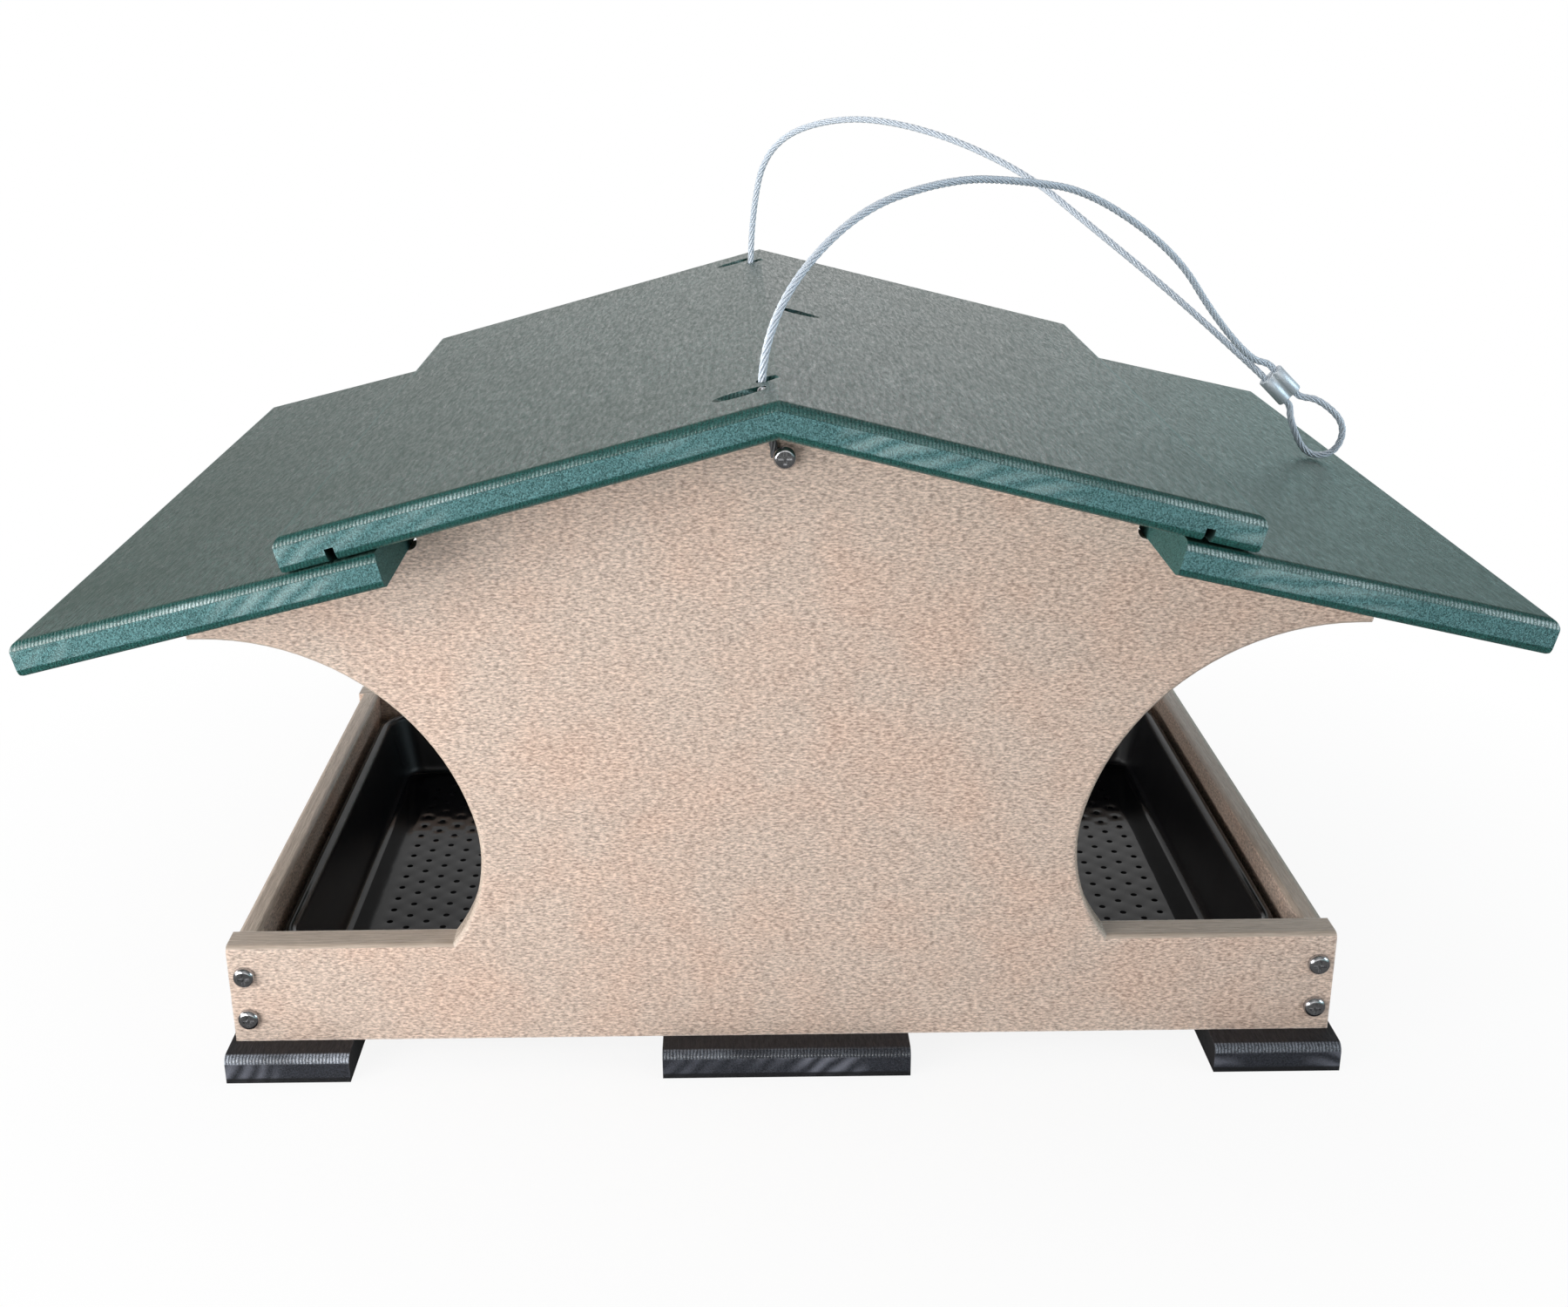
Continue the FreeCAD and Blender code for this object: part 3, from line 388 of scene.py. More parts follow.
def flute_ridges_and_highlight(tree, coord, skin, speckle, rounded):
    """ridges that the router left in rounded top edges, and where a highlight is painted along them"""
    flute = place_node(tree, "TexWave", {
        "Vector": coord["Object"], "Scale": 240.0, "Distortion": 2.5, "Detail": 1.5},
        bands_direction="X").outputs["Fac"]
    way_up = place_node(tree, "SeparateXYZ", {0: coord["Normal"]}).outputs["Z"]
    aside = place_node(tree, "SeparateXYZ", {0: coord["Object"]}).outputs["X"]
    broken = stretch_range(tree, work_out(tree, "MULTIPLY", flute, speckle), (-0.10, 0.50))
    patch = stretch_range(tree, skin["Cloud"], (0.42, 0.58), (0.3, 1.0))
    # the painted highlight is brighter on the outer boards
    outer = stretch_range(tree, work_out(tree, "ABSOLUTE", aside), (0.05, 0.17), (0.25, 1.0))
    seen = work_out(tree, "MULTIPLY", broken, work_out(tree, "MULTIPLY", patch, outer))
    round_top = work_out(tree, "MULTIPLY", rounded, stretch_range(tree, way_up, (0.02, 0.15)))
    return flute, work_out(tree, "MULTIPLY", round_top, seen)


def sawn_finish(name, skin_up, tints, gloss):
    """board with grain front to back: skin on top, routed rounds and sides, and ends left as sawn"""
    # gloss holds the roughness of each kind of face, the strength of relief, of wear with its painted
    # highlight and of flutes, which slopes count as rounds, the height of the painted shade at its foot, and
    # how it shines
    finish, tree, shader = start_finish(name)
    coord = place_node(tree, "TexCoord").outputs
    spot = coord["Object"]
    turned = place_node(tree, "Mapping", {"Vector": spot, "Rotation": (0, 0, radians(90))}).outputs[0]
    skin = use_effect(tree, skin_effect, {
        "Place": turned, "Fleck Length": 0.0042, "Fleck Width": 0.0008, "Cloud Size": 0.06})
    saw = use_effect(tree, saw_effect, {"Place": spot, "Spacing": 0.006})
    wear_and_highlight = use_effect(tree, wear_highlight_effect, {"Place": spot})["Wear And Highlight"]
    painted_shade = use_effect(tree, corner_shade_effect, {"Reach": 0.009})["Shade"]
    skinned = use_effect(tree, facing_effect, {"Direction": (0, 0, 1), "Cosine": skin_up})["Mask"]
    side = use_effect(tree, facing_effect, {"Direction": (1, 0, 0), "Cosine": 0.8, "Soft": 0.2})["Mask"]
    end = use_effect(tree, facing_effect, {"Direction": (0, 1, 0), "Cosine": 0.998, "Soft": 0.02})["Mask"]
    rounded = use_effect(tree, facing_effect, {
        "Direction": (0, 1, 0), "Cosine": gloss["round"], "Soft": gloss["round_soft"]})["Mask"]

    # colour of the skin: flecks, clouds, and pits in painted shade
    fleck = stretch_range(tree, skin["Fleck"], (0.33, 0.68))
    cloud = stretch_range(tree, skin["Cloud"], (0.35, 0.65))
    flecked = mix_tint(tree, fleck, tints["dark"], tints["light"])
    clouded = mix_tint(tree, cloud, flecked, tints["cloud"])
    pitted = mix_tint(tree, skin["Pit"], clouded, tints["painted_shade"])

    # colour of what was cut: the routed rounds with their flutes and a highlight painted along them, the
    # sides and the sawn ends
    speckle = stretch_range(tree, saw["Speckle"], (0.36, 0.66))
    routed = mix_tint(tree, speckle, tints["routed_dark"], tints["routed_light"])
    edge = mix_tint(tree, skinned, routed, pitted)
    flute, flute_highlight = flute_ridges_and_highlight(tree, coord, skin, speckle, rounded)
    highlit_flutes = mix_tint(tree, flute_highlight, edge, tints["flute"])
    sides = mix_tint(tree, speckle, tints["side_dark"], tints["side_light"])
    sided = mix_tint(tree, side, highlit_flutes, sides)
    sawn = mix_tint(tree, speckle, tints["sawn_dark"], tints["sawn_light"])
    banded = mix_tint(tree, saw["Band"], sawn, tints["band"], "SCREEN")
    board = mix_tint(tree, end, sided, banded)

    # pale along worn edges, where a highlight is painted too, and painted shade in tight corners and
    # close to what the board stands on
    foot_blur = 0.0008
    shade_strength = 0.92
    worn_highlight = work_out(tree, "MULTIPLY", wear_and_highlight, gloss["wear_and_highlight"])
    edges_worn_and_lit = mix_tint(tree, worn_highlight, board, tints["worn_highlight"])
    height_up = place_node(tree, "SeparateXYZ", {0: spot}).outputs["Z"]
    foot = stretch_range(tree, height_up, (gloss["foot"], gloss["foot"] - foot_blur))
    shade = work_out(tree, "MULTIPLY", work_out(tree, "MAXIMUM", painted_shade, foot), shade_strength)
    tree.links.new(mix_tint(tree, shade, edges_worn_and_lit, tints["painted_shade"]), shader["Base Color"])

    # gloss and relief of the same faces
    skin_range = (gloss["skin"], gloss["skin"] + 0.22)
    sawn_range = (gloss["sawn"] + 0.12, gloss["sawn"])
    rough_skin = stretch_range(tree, skin["Pebble"], noise_span, skin_range)
    rough_edge = mix_value(tree, skinned, gloss["routed"], rough_skin)
    rough_side = mix_value(tree, side, rough_edge, gloss["side"])
    rough_end = stretch_range(tree, saw["Speckle"], (0.35, 0.65), sawn_range)
    tree.links.new(mix_value(tree, end, rough_side, rough_end), shader["Roughness"])
    shader["Specular IOR Level"].default_value = gloss["shine"]
    shader["Specular Tint"].default_value = tints["shine"]
    flute_low = work_out(tree, "MULTIPLY", flute, gloss["flute"])
    lumps = mix_value(tree, skinned, flute_low, skin["Pebble"])
    relief = mix_value(tree, end, lumps, saw["Speckle"])
    emboss(tree, shader, relief, strength=gloss["bump"], distance=0.0006)
    return finish


black_slat = sawn_finish(
    "black_slat", skin_up=0.99, tints={
        "dark": (0.006, 0.005, 0.006, 1), "light": (0.022, 0.020, 0.023, 1),
        "cloud": (0.012, 0.011, 0.013, 1), "painted_shade": (0.003, 0.003, 0.004, 1),
        "routed_dark": (0.005, 0.005, 0.007, 1), "routed_light": (0.022, 0.024, 0.030, 1),
        "side_dark": (0.004, 0.004, 0.005, 1), "side_light": (0.016, 0.016, 0.018, 1),
        "sawn_dark": (0.004, 0.005, 0.008, 1), "sawn_light": (0.040, 0.044, 0.058, 1),
        # the flute tint is the highlight painted along the rounds' flutes
        "band": (0.12, 0.125, 0.15, 1), "flute": (0.58, 0.63, 0.72, 1),
        "worn_highlight": (0.26, 0.26, 0.28, 1), "shine": (1, 1, 1, 1)},
    gloss={"skin": 0.60, "routed": 0.24, "side": 0.7, "sawn": 0.45, "bump": 0.55, "wear_and_highlight": 0.12,
           "round": 0.42, "round_soft": 0.32, "foot": 0.0025, "flute": 0.4, "shine": 0.4})
dress(["slat_left", "slat_center", "slat_right"], black_slat)


# Seed tray. One sheet of glossy black plastic, drawn into a mould: sloping walls, a wide cove
# at the floor, a rolled rim, and rows of small drain holes pressed down through the floor.
tray_low, tray_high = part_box("seed_tray")
tray_wall = 0.002
tray_foot = tray_low.z
tray_floor = tray_foot + tray_wall
tray_top = tray_high.z
cove_height = 0.0038
cove_steps = 7
# the floor is level round its drains, and falls a little from there to the cove
floor_fall = 0.0012
floor_margin = 0.0004
# half width, half depth and corner radius of the hollow: round its drains, at the cove's foot,
# where floor and wall would meet, at the cove's top, and at its mouth
hollow_drains = (0.1765, 0.1085, 0.0080)
hollow_floor = (0.1868, 0.1143, 0.0094)
hollow_corner = (0.1904, 0.1171, 0.0110)
hollow_cove = (0.1912, 0.1177, 0.0116)
hollow_mouth = (0.1965, 0.1205, 0.0145)
corner_steps = 8
# the rim rolls over from near the top of the wall, and ends in a small rounded lip
rim_start = 0.94
rim_steps = 4
rim_roll = 0.0022
rim_lip = 0.0015
rim_edge = (tray_high.x, tray_high.y, 0.0195)
lip_turn = 0.3
# the sheet is drawn thinner round the cove
thin_cove = 0.9
thin_corner = 0.7


def tray_ring(build, size, z):
    """closed ring of points round a rounded rectangle"""
    half_x, half_y, corner = size
    ring = []
    for turn, (side_x, side_y) in enumerate(((1, 1), (-1, 1), (-1, -1), (1, -1))):
        for step in range(corner_steps + 1):
            angle = (turn + step / corner_steps) * pi / 2
            ring.append(build.verts.new((
                side_x * (half_x - corner) + corner * cos(angle),
                side_y * (half_y - corner) + corner * sin(angle), z)))
    return ring


def grown(size, by):
    """ring size moved outward all round"""
    return tuple(part + by for part in size)


def between(first, second, share):
    """ring size part of the way from one to another"""
    return tuple(a + (b - a) * share for a, b in zip(first, second))


def bend(first, corner, second, steps):
    """ring sizes and heights along a smooth bend that starts and ends on the straight"""
    shares = [step / steps for step in range(steps + 1)]
    return [between(between(first, corner, share), between(corner, second, share), share) for share in shares]


def join_rings(build, rings):
    """faces between each closed ring of points and the next"""
    for low_ring, high_ring in zip(rings, rings[1:]):
        for near in range(len(low_ring)):
            after = (near + 1) % len(low_ring)
            build.faces.new((low_ring[near], low_ring[after], high_ring[after], high_ring[near]))


def fill_open(build, points):
    """flat faces inside the open edges that run between given points"""
    edges = [edge for edge in build.edges if edge.is_boundary and all(vert in points for vert in edge.verts)]
    bmesh.ops.triangle_fill(build, use_beauty=True, edges=edges)


def place_smooth(name, build, sharp_from):
    """object whose faces look outward and shade smoothly, but for edges sharper than an angle"""
    bmesh.ops.recalc_face_normals(build, faces=build.faces)
    for face in build.faces:
        face.smooth = True
    piece = place_piece(name, build)
    piece.data.set_sharp_from_angle(angle=sharp_from)
    return piece


floor_edge = (*hollow_floor, tray_floor - floor_fall)
floor_corner = (*hollow_corner, tray_floor - floor_fall)
cove_top = (*hollow_cove, tray_floor + cove_height)
mouth_low = (*between(hollow_cove, hollow_mouth, rim_start), tray_top - rim_roll)
mouth_corner = (*hollow_mouth, tray_top)
mouth_edge = (*grown(hollow_mouth, rim_roll), tray_top)
outer_cove = (*grown(hollow_cove, tray_wall * thin_cove), tray_foot + cove_height)
outer_corner = (*grown(hollow_corner, tray_wall * thin_corner), tray_foot)
outer_edge = (*hollow_floor, tray_foot)
tray_profile = [
    (*hollow_drains, tray_floor), (*grown(hollow_floor, -floor_margin), tray_floor - floor_fall),
    *bend(floor_edge, floor_corner, cove_top, cove_steps),
    *bend(mouth_low, mouth_corner, mouth_edge, rim_steps),
    (*grown(rim_edge, -rim_lip), tray_top),
    (*grown(rim_edge, -rim_lip * lip_turn), tray_top - rim_lip * lip_turn),
    (*rim_edge, tray_top - rim_lip), (*rim_edge, tray_top - tray_wall),
    (*grown(hollow_mouth, tray_wall), tray_top - tray_wall),
    *bend(outer_cove, outer_corner, outer_edge, cove_steps), (*hollow_drains, tray_foot)]
tray_build = bmesh.new()
join_rings(tray_build, [tray_ring(tray_build, part[:3], part[3]) for part in tray_profile])

# drain holes in staggered columns, each in the middle of a shallow dish
drain_radius = 0.00145
drain_lip = 0.0037
drain_dip = 0.0001
drain_columns = 21
drain_pitch_x = 0.00815
drain_pitch_y = 0.01085
drain_reach_y = 0.103
drain_rims = (
    ("floor", tray_floor, None), ("floor", tray_floor, drain_lip),
    ("floor", tray_floor - drain_dip, drain_radius),
    ("foot", tray_foot, drain_radius), ("foot", tray_foot, None))
# a drain's cell reaches half way to its neighbours; its rim points match theirs
cell_rim = ((0.5, 0), (0.5, 0.25), (0.5, 0.5), (0, 0.5), (-0.5, 0.5), (-0.5, 0.25),
            (-0.5, 0), (-0.5, -0.25), (-0.5, -0.5), (0, -0.5), (0.5, -0.5), (0.5, -0.25))
half_rim = 6
cell_grid = 1e5
cell_points = {}
drain_places = []
for column in range(-drain_columns, drain_columns + 1):
    shift = drain_pitch_y / 2 * (column % 2)
    rows = int((drain_reach_y - shift) / drain_pitch_y)
    for row in range(-rows - (column % 2), rows + 1):
        drain_places.append((column * drain_pitch_x, row * drain_pitch_y + shift))


def cell_point(x, y, side, z):
    """rim point of a cell, shared with the cells next to it"""
    key = (round(x * cell_grid), round(y * cell_grid), side)
    if key not in cell_points:
        cell_points[key] = tray_build.verts.new((x, y, z))
    return cell_points[key]


def drain_rim(x, y, side, z, radius):
    """ring round a drain: its cell's edge, or a circle"""
    if radius is None:
        return [cell_point(x + part_x * drain_pitch_x, y + part_y * drain_pitch_y, side, z)
                for part_x, part_y in cell_rim]
    angles = [step * pi / half_rim for step in range(len(cell_rim))]
    return [tray_build.verts.new((x + radius * cos(angle), y + radius * sin(angle), z)) for angle in angles]


for drain_x, drain_y in drain_places:
    join_rings(tray_build, [drain_rim(drain_x, drain_y, *rim) for rim in drain_rims])
level_slack = 1e-6
for level in (tray_floor, tray_foot):
    fill_open(tray_build, {vert for vert in tray_build.verts if abs(vert.co.z - level) < level_slack})
tray_shell = place_smooth("tray_shell", tray_build, radians(50))

tray_black, tray_tree, tray_shader = start_finish("tray_black")
tray_spot = place_node(tray_tree, "TexCoord").outputs["Object"]
tray_cloud = noise(tray_tree, tray_spot, scale=60.0, detail=3.0)
tray_tint = mix_tint(tray_tree, tray_cloud, (0.003, 0.003, 0.004, 1), (0.009, 0.009, 0.011, 1))
tray_tree.links.new(tray_tint, tray_shader["Base Color"])
# the level floor and rim are shinier than the walls
tray_wall_rough = 0.36
tray_rub = noise(tray_tree, tray_spot, scale=900.0, detail=3.0, roughness=0.7)
tray_level = use_effect(tray_tree, facing_effect, {
    "Direction": (0, 0, 1), "Cosine": 0.9, "Soft": 0.25})["Mask"]
tray_smooth = stretch_range(tray_tree, tray_rub, (0.3, 0.75), (0.06, 0.15))
tray_tree.links.new(mix_value(tray_tree, tray_level, tray_wall_rough, tray_smooth), tray_shader["Roughness"])
tray_shader["Specular IOR Level"].default_value = 0.36
tray_wave = noise(tray_tree, tray_spot, scale=60.0, detail=1.0)
emboss(tray_tree, tray_shader, tray_wave, strength=0.2, distance=0.0006)
tray_shell.data.materials.append(tray_black)
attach(tray_shell, "tray")
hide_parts("seed_tray")


# Roof boards. Four boards of dark green plastic lumber: two mitred at the ridge and two lapped
# under them, pebbled on top with the grain front to back, sawn across and rounded at the ends.
green_roof = sawn_finish(
    "green_roof", skin_up=0.955, tints={
        "dark": (0.005, 0.026, 0.020, 1), "light": (0.065, 0.140, 0.120, 1),
        "cloud": (0.020, 0.062, 0.048, 1), "painted_shade": (0.002, 0.010, 0.008, 1),
        "routed_dark": (0.002, 0.028, 0.025, 1), "routed_light": (0.028, 0.135, 0.120, 1),
        "side_dark": (0.003, 0.040, 0.036, 1), "side_light": (0.070, 0.210, 0.195, 1),
        "sawn_dark": (0.012, 0.072, 0.072, 1), "sawn_light": (0.130, 0.320, 0.330, 1),
        # the flute tint is the highlight painted along the rounds' flutes
        "band": (0.15, 0.185, 0.18, 1), "flute": (0.52, 0.66, 0.67, 1),
        "worn_highlight": (0.42, 0.58, 0.54, 1), "shine": (1.0, 0.965, 0.93, 1)},
    gloss={"skin": 0.25, "routed": 0.28, "side": 0.75, "sawn": 0.42, "bump": 1.0, "wear_and_highlight": 0.06,
           "round": 0.90, "round_soft": 0.28, "foot": -0.1, "flute": 0.18, "shine": 0.5})
dress(["roof_upper_left", "roof_upper_right", "roof_lower_left", "roof_lower_right"], green_roof)


# Screws. Stainless pan heads with a cross recess hold the rails and the cable, and flat heads
# the slats and the roof; all turned bright and dulled a little in handling.
screw_steel, screw_tree, screw_shader = start_finish("screw_steel")
screw_spot = place_node(screw_tree, "TexCoord").outputs["Object"]
screw_smear = noise(screw_tree, screw_spot, scale=420.0, detail=3.0)
# painted glint: the heads' edges are paler, along with their wear
screw_wear_glint = use_effect(screw_tree, wear_highlight_effect, {"Place": screw_spot, "Reach": 0.0004})["Wear And Highlight"]
screw_head = mix_tint(screw_tree, screw_smear, (0.36, 0.36, 0.37, 1), (0.54, 0.54, 0.55, 1))
screw_tint = mix_tint(screw_tree, screw_wear_glint, screw_head, (0.82, 0.82, 0.83, 1))
screw_tree.links.new(screw_tint, screw_shader["Base Color"])
screw_shader["Metallic"].default_value = 1.0
screw_rough = stretch_range(screw_tree, screw_smear, noise_span, (0.12, 0.24))
screw_tree.links.new(screw_rough, screw_shader["Roughness"])
screw_turn = noise(screw_tree, screw_spot, scale=3000.0, detail=2.0)
emboss(screw_tree, screw_shader, screw_turn, strength=0.15, distance=0.0001)
dress(["rail_screws_front", "rail_screws_back", "anchor_screw_front", "anchor_screw_back", "slat_screws",
       "toe_screws", "lap_screws_left", "lap_screws_right"], screw_steel)


# Hanger cable. Galvanised wire rope of six strands laid round a core, stiff enough to arch over
# the roof by itself; it runs from one ridge hole to the other, with an eye held by a sleeve.
rope_radius = 0.0015
strand_count = 6
strand_radius = 0.0005
strand_lay = 0.019
strand_sides = 8


def smooth_line(corners):
    """points along the smooth line that a route's corner points steer"""
    route = bpy.data.curves.new("cable_route", "CURVE")
    route.dimensions = "3D"
    route.resolution_u = 26
    spline = route.splines.new("NURBS")
    spline.points.add(len(corners) - 1)
    for point, corner in zip(spline.points, corners):
        point.co = (*corner, 1)
    spline.order_u = 3
    spline.use_endpoint_u = True
    holder = bpy.data.objects.new("cable_route", route)
    bpy.context.collection.objects.link(holder)
    line = bpy.data.meshes.new_from_object(holder)
    places = [point.co.copy() for point in line.vertices]
    bpy.data.objects.remove(holder)
    bpy.data.curves.remove(route)
    bpy.data.meshes.remove(line)
    return places


def wire_rope(name, places):
    """piece made of strands wound round a core along a line of points"""
    build = bmesh.new()
    wires = build.loops.layers.uv.new("wires")
    turn = Vector((1, 0, 0))
    run = 0.0
    rings = [[] for strand in range(strand_count + 1)]
    for here, place in enumerate(places):
        before = places[max(here - 1, 0)]
        ahead = places[min(here + 1, len(places) - 1)]
        heading = (ahead - before).normalized()
        turn = (turn - heading * turn.dot(heading)).normalized()
        side = heading.cross(turn)
        run += (place - before).length
        for strand in range(strand_count + 1):
            angle = 2 * pi * (strand / strand_count + run / strand_lay)
            reach = 0.0 if strand == strand_count else rope_radius - strand_radius
            middle = place + (turn * cos(angle) + side * sin(angle)) * reach
            ring = []
            for step in range(strand_sides):
                round_angle = angle + 2 * pi * step / strand_sides
                spot = middle + (turn * cos(round_angle) + side * sin(round_angle)) * strand_radius
                ring.append(build.verts.new(spot))
            rings[strand].append((ring, run))
    for strand in rings:
        for (low, low_run), (high, high_run) in zip(strand, strand[1:]):
            for step in range(strand_sides):
                after = (step + 1) % strand_sides
                face = build.faces.new((low[step], low[after], high[after], high[step]))
                face.smooth = True
                across = (step / strand_sides, (step + 1) / strand_sides)
                for loop, spot in zip(face.loops, ((across[0], low_run), (across[1], low_run),
                                                   (across[1], high_run), (across[0], high_run))):
                    loop[wires].uv = spot
        build.faces.new(reversed(strand[0][0]))
        build.faces.new(strand[-1][0])
    return place_piece(name, build)


front_strand = [
    (-0.0050, -0.1460, 0.26906), (-0.0050, -0.1460, 0.29306), (0.0260, -0.1230, 0.32740),
    (0.0650, -0.0910, 0.33540), (0.0960, -0.0580, 0.33090), (0.1280, -0.0280, 0.32340),
    (0.1690, -0.0040, 0.29590), (0.1910, 0.0090, 0.26590), (0.2100, 0.0170, 0.24640),
    (0.21848, 0.0210, 0.24416), (0.22166, 0.0210, 0.24098)]
eye_loop = [
    (0.23128, 0.0210, 0.23136), (0.23375, 0.0210, 0.22889), (0.24256, 0.0210, 0.22776),
    (0.25526, 0.0210, 0.21656), (0.25206, 0.0210, 0.20316), (0.23866, 0.0210, 0.20216),
    (0.23046, 0.0210, 0.21846), (0.22993, 0.0210, 0.22507), (0.22746, 0.0210, 0.22754)]
back_strand = [
    (0.21784, 0.0210, 0.23716), (0.21466, 0.0210, 0.24034), (0.1780, 0.0320, 0.27290),
    (0.1430, 0.0540, 0.30140), (0.1180, 0.0760, 0.32190), (0.0780, 0.0990, 0.33940),
    (0.0380, 0.1200, 0.34540), (0.0030, 0.1380, 0.33240), (-0.0050, 0.1460, 0.29306),
    (-0.0050, 0.1460, 0.26906)]
cable_line = smooth_line(front_strand + eye_loop + back_strand)
cable = wire_rope("hanger_cable", cable_line)

# the fine wires wind round each strand, with painted shade in the valleys between them
wire_count = 5.0
wire_lay = 0.006
cable_steel, cable_tree, cable_shader = start_finish("cable_steel")
cable_spot = place_node(cable_tree, "TexCoord").outputs["Object"]
cable_wires = place_node(cable_tree, "UVMap", uv_map="wires").outputs[0]
cable_uv = place_node(cable_tree, "SeparateXYZ", {0: cable_wires}).outputs
wire_round = work_out(cable_tree, "MULTIPLY", cable_uv["X"], wire_count)
wire_along = work_out(cable_tree, "DIVIDE", cable_uv["Y"], wire_lay)
wire_phase = work_out(cable_tree, "SUBTRACT", wire_round, wire_along)
wire_turn = work_out(cable_tree, "MULTIPLY", wire_phase, 2 * pi)
wire_height = stretch_range(cable_tree, work_out(cable_tree, "COSINE", wire_turn), (-1.0, 1.0))
cable_blot = noise(cable_tree, cable_spot, scale=240.0, detail=3.0)
cable_plain = mix_tint(cable_tree, cable_blot, (0.88, 0.94, 1.0, 1), (0.96, 0.98, 1.0, 1))
cable_wound = mix_tint(cable_tree, wire_height, (0.56, 0.66, 0.78, 1), cable_plain)
# painted shade darkens the ends under the ridge
cable_way = place_node(cable_tree, "SeparateXYZ", {0: cable_spot}).outputs
cable_under = stretch_range(cable_tree, cable_way["Z"], (0.262, 0.256), (0.0, 0.9))
cable_inside = stretch_range(cable_tree, cable_way["X"], (0.05, 0.03))
cable_shade = work_out(cable_tree, "MULTIPLY", cable_under, cable_inside)
cable_tint = mix_tint(cable_tree, cable_shade, cable_wound, (0.045, 0.042, 0.04, 1))
cable_tree.links.new(cable_tint, cable_shader["Base Color"])
cable_shader["Metallic"].default_value = 0.1
cable_rough = stretch_range(cable_tree, cable_blot, noise_span, (0.26, 0.42))
cable_tree.links.new(cable_rough, cable_shader["Roughness"])
emboss(cable_tree, cable_shader, wire_height, strength=0.5, distance=0.00006)
cable.data.materials.append(cable_steel)

# the cable's two ends go down through the ridge and lie beside the anchor screws' shanks
for tail_name, tail_side, tail_node in (("cable_tail_front", -1, "cable_end_front"),
                                        ("cable_tail_back", 1, "cable_end_back")):
    hole_x, hole_y = -0.0050, tail_side * 0.1460
    shank_x, shank_y = -0.0006, tail_side * 0.1431
    tail_line = smooth_line([
        (hole_x, hole_y, 0.26906), (hole_x, hole_y, 0.26006),
        (shank_x, shank_y, 0.25168), (shank_x, shank_y, 0.24618)])
    tail = wire_rope(tail_name, tail_line)
    tail.data.materials.append(cable_steel)
    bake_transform(tail)
    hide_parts(tail_node)


# Cable sleeve. A short double-barrelled sleeve of soft zinc-plated metal, drawn as one length
# with two bores, pressed over both strands where the eye closes.
sleeve_middle = Vector((0.22456, 0.0210, 0.23426))
sleeve_axis = Vector((1, 0, -1)).normalized()
sleeve_across = Vector((1, 0, 1)).normalized()
sleeve_deep = Vector((0, 1, 0))
sleeve_length = 0.0136
barrel_radius = 0.00315
barrel_offset = 0.0027
barrel_steps = 22
bore_radius = 0.00158
bore_steps = 20
waist_half = 0.0023
# its ends, as shares of its length, are rounded over a lip and a shoulder; its middle is
# pressed in by a hair
sleeve_round = 0.0005
lip_share = 0.012
lip_round = 0.35
shoulder_share = 0.035
middle_press = 0.00004


def sleeve_outline(shrink):
    """points of the figure-eight section, drawn in by a little"""
    radius = barrel_radius - shrink
    cut = waist_half - shrink
    lean = max(-1.0, min(1.0, cut / radius))
    first = pi - asin(lean)
    outline = []
    for turn in (1, -1):
        for step in range(barrel_steps + 1):
            angle = -first + 2 * first * step / barrel_steps
            outline.append((turn * (barrel_offset + radius * cos(angle)), turn * radius * sin(angle)))
    return outline


def bore_outline(turn):
    """points round one bore"""
    angles = [2 * pi * step / bore_steps for step in range(bore_steps)]
    return [(turn * barrel_offset + bore_radius * cos(angle), bore_radius * sin(angle)) for angle in angles]


def sleeve_ring(build, outline, along):
    """closed ring of points across the sleeve, some share of its length from its middle"""
    place = sleeve_axis * (along * sleeve_length)
    return [build.verts.new(sleeve_middle + sleeve_across * across + sleeve_deep * deep + place)
            for across, deep in outline]


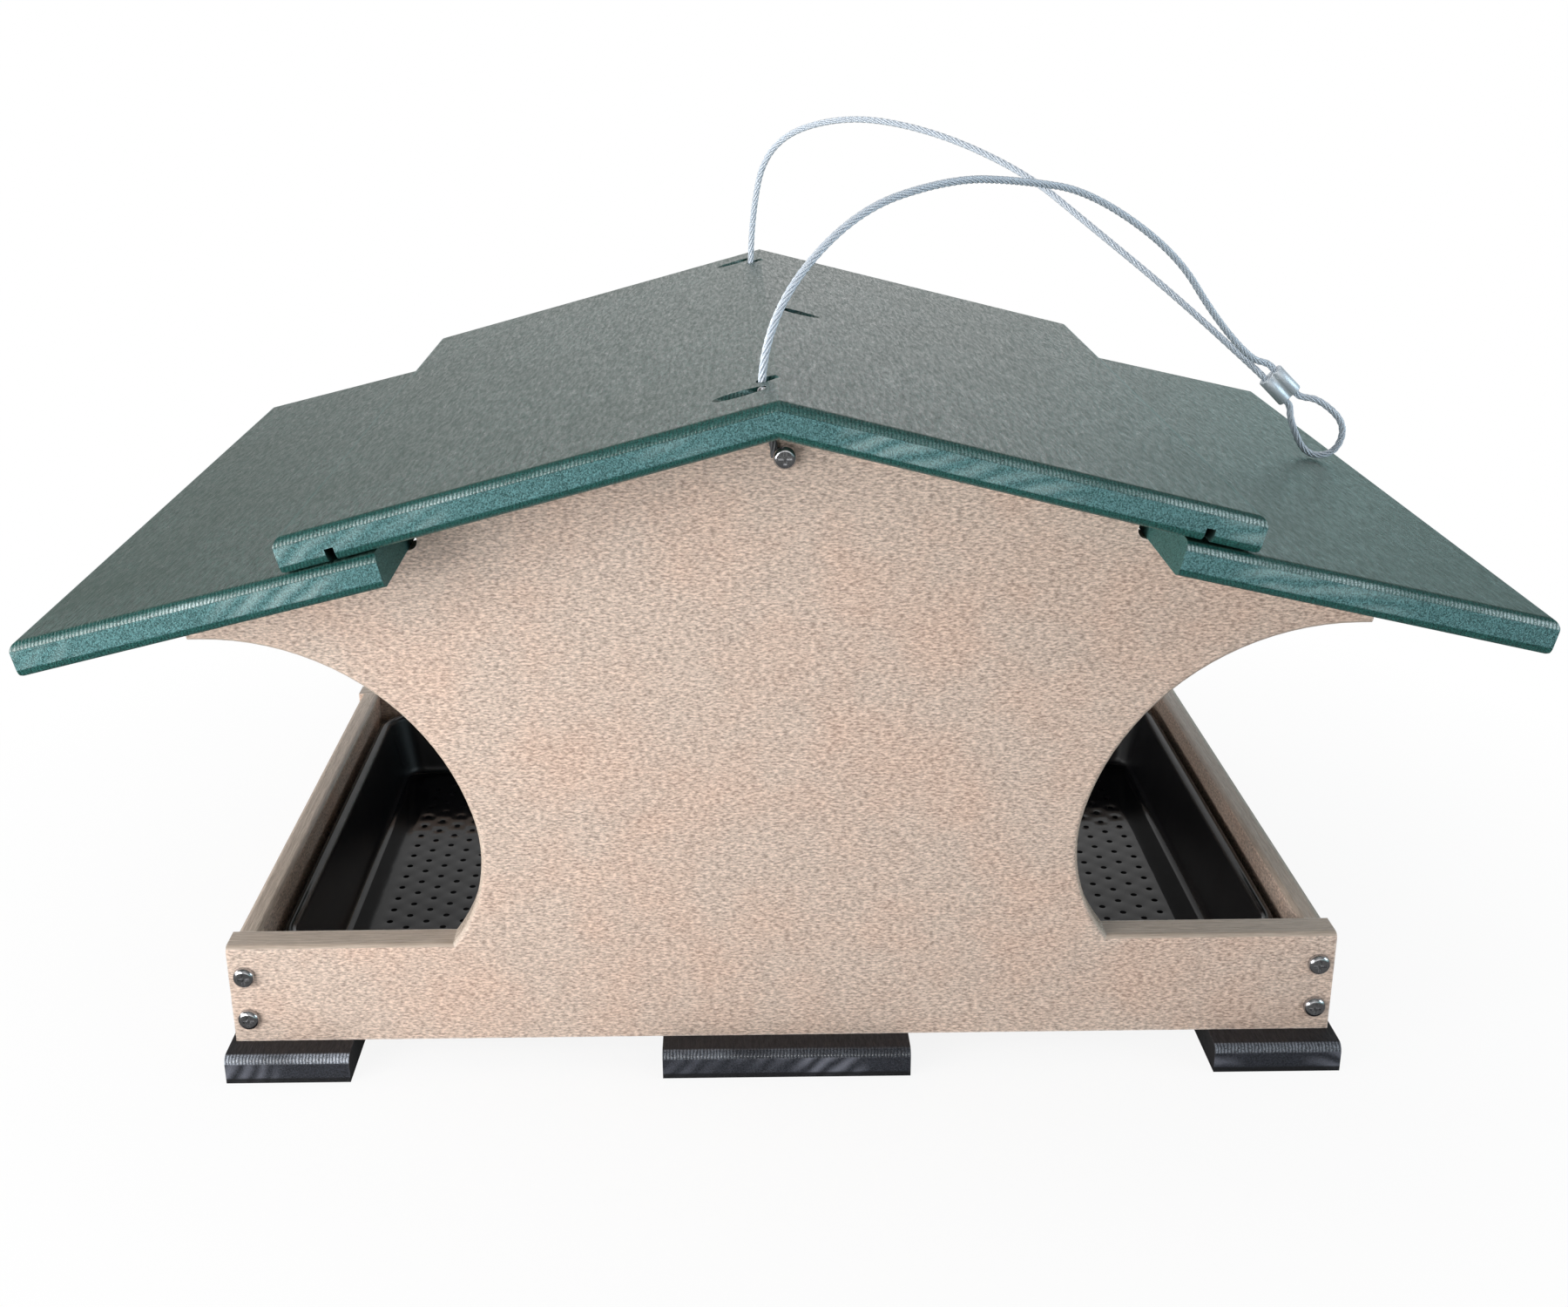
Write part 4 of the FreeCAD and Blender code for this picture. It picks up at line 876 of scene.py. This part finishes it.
sleeve_build = bmesh.new()
sleeve_stations = [
    (-0.5, sleeve_round), (-0.5 + lip_share, sleeve_round * lip_round), (-0.5 + shoulder_share, 0.0),
    (0.0, middle_press),
    (0.5 - shoulder_share, 0.0), (0.5 - lip_share, sleeve_round * lip_round), (0.5, sleeve_round)]
sleeve_rings = [sleeve_ring(sleeve_build, sleeve_outline(shrink), along)
                for along, shrink in sleeve_stations]
join_rings(sleeve_build, sleeve_rings)
bores = []
for turn in (1, -1):
    bore = [sleeve_ring(sleeve_build, bore_outline(turn), along) for along in (-0.5, 0.5)]
    join_rings(sleeve_build, bore)
    bores.append(bore)
for end in (0, -1):
    fill_open(sleeve_build, {*sleeve_rings[end], *bores[0][end], *bores[1][end]})
sleeve = place_smooth("cable_ferrule", sleeve_build, radians(45))

sleeve_metal, sleeve_tree, sleeve_shader = start_finish("sleeve_metal")
sleeve_spot = place_node(sleeve_tree, "TexCoord").outputs["Object"]
sleeve_turned = place_node(sleeve_tree, "Mapping", {
    "Vector": sleeve_spot, "Rotation": (0, radians(-45), 0), "Scale": (120.0, 2600.0, 2600.0)}).outputs[0]
sleeve_draw = noise(sleeve_tree, sleeve_turned, scale=1.0, detail=2.0)
sleeve_blot = noise(sleeve_tree, sleeve_spot, scale=500.0, detail=2.0)
# painted glint: the sleeve's edges are paler, along with their wear
sleeve_wear_glint = use_effect(sleeve_tree, wear_highlight_effect, {"Place": sleeve_spot, "Reach": 0.0004})["Wear And Highlight"]
sleeve_plain = mix_tint(sleeve_tree, sleeve_blot, (0.66, 0.74, 0.82, 1), (0.84, 0.89, 0.94, 1))
sleeve_tint = mix_tint(sleeve_tree, sleeve_wear_glint, sleeve_plain, (0.88, 0.88, 0.87, 1))
sleeve_tree.links.new(sleeve_tint, sleeve_shader["Base Color"])
sleeve_shader["Metallic"].default_value = 0.45
sleeve_rough = stretch_range(sleeve_tree, sleeve_draw, noise_span, (0.34, 0.48))
sleeve_tree.links.new(sleeve_rough, sleeve_shader["Roughness"])
emboss(sleeve_tree, sleeve_shader, sleeve_draw, strength=0.2, distance=0.0001)
sleeve.data.materials.append(sleeve_metal)
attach(sleeve, "roof")
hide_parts("cable_sleeve")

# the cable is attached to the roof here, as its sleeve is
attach(cable, "roof")
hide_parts("cable_strand_front", "cable_eye", "cable_strand_back")
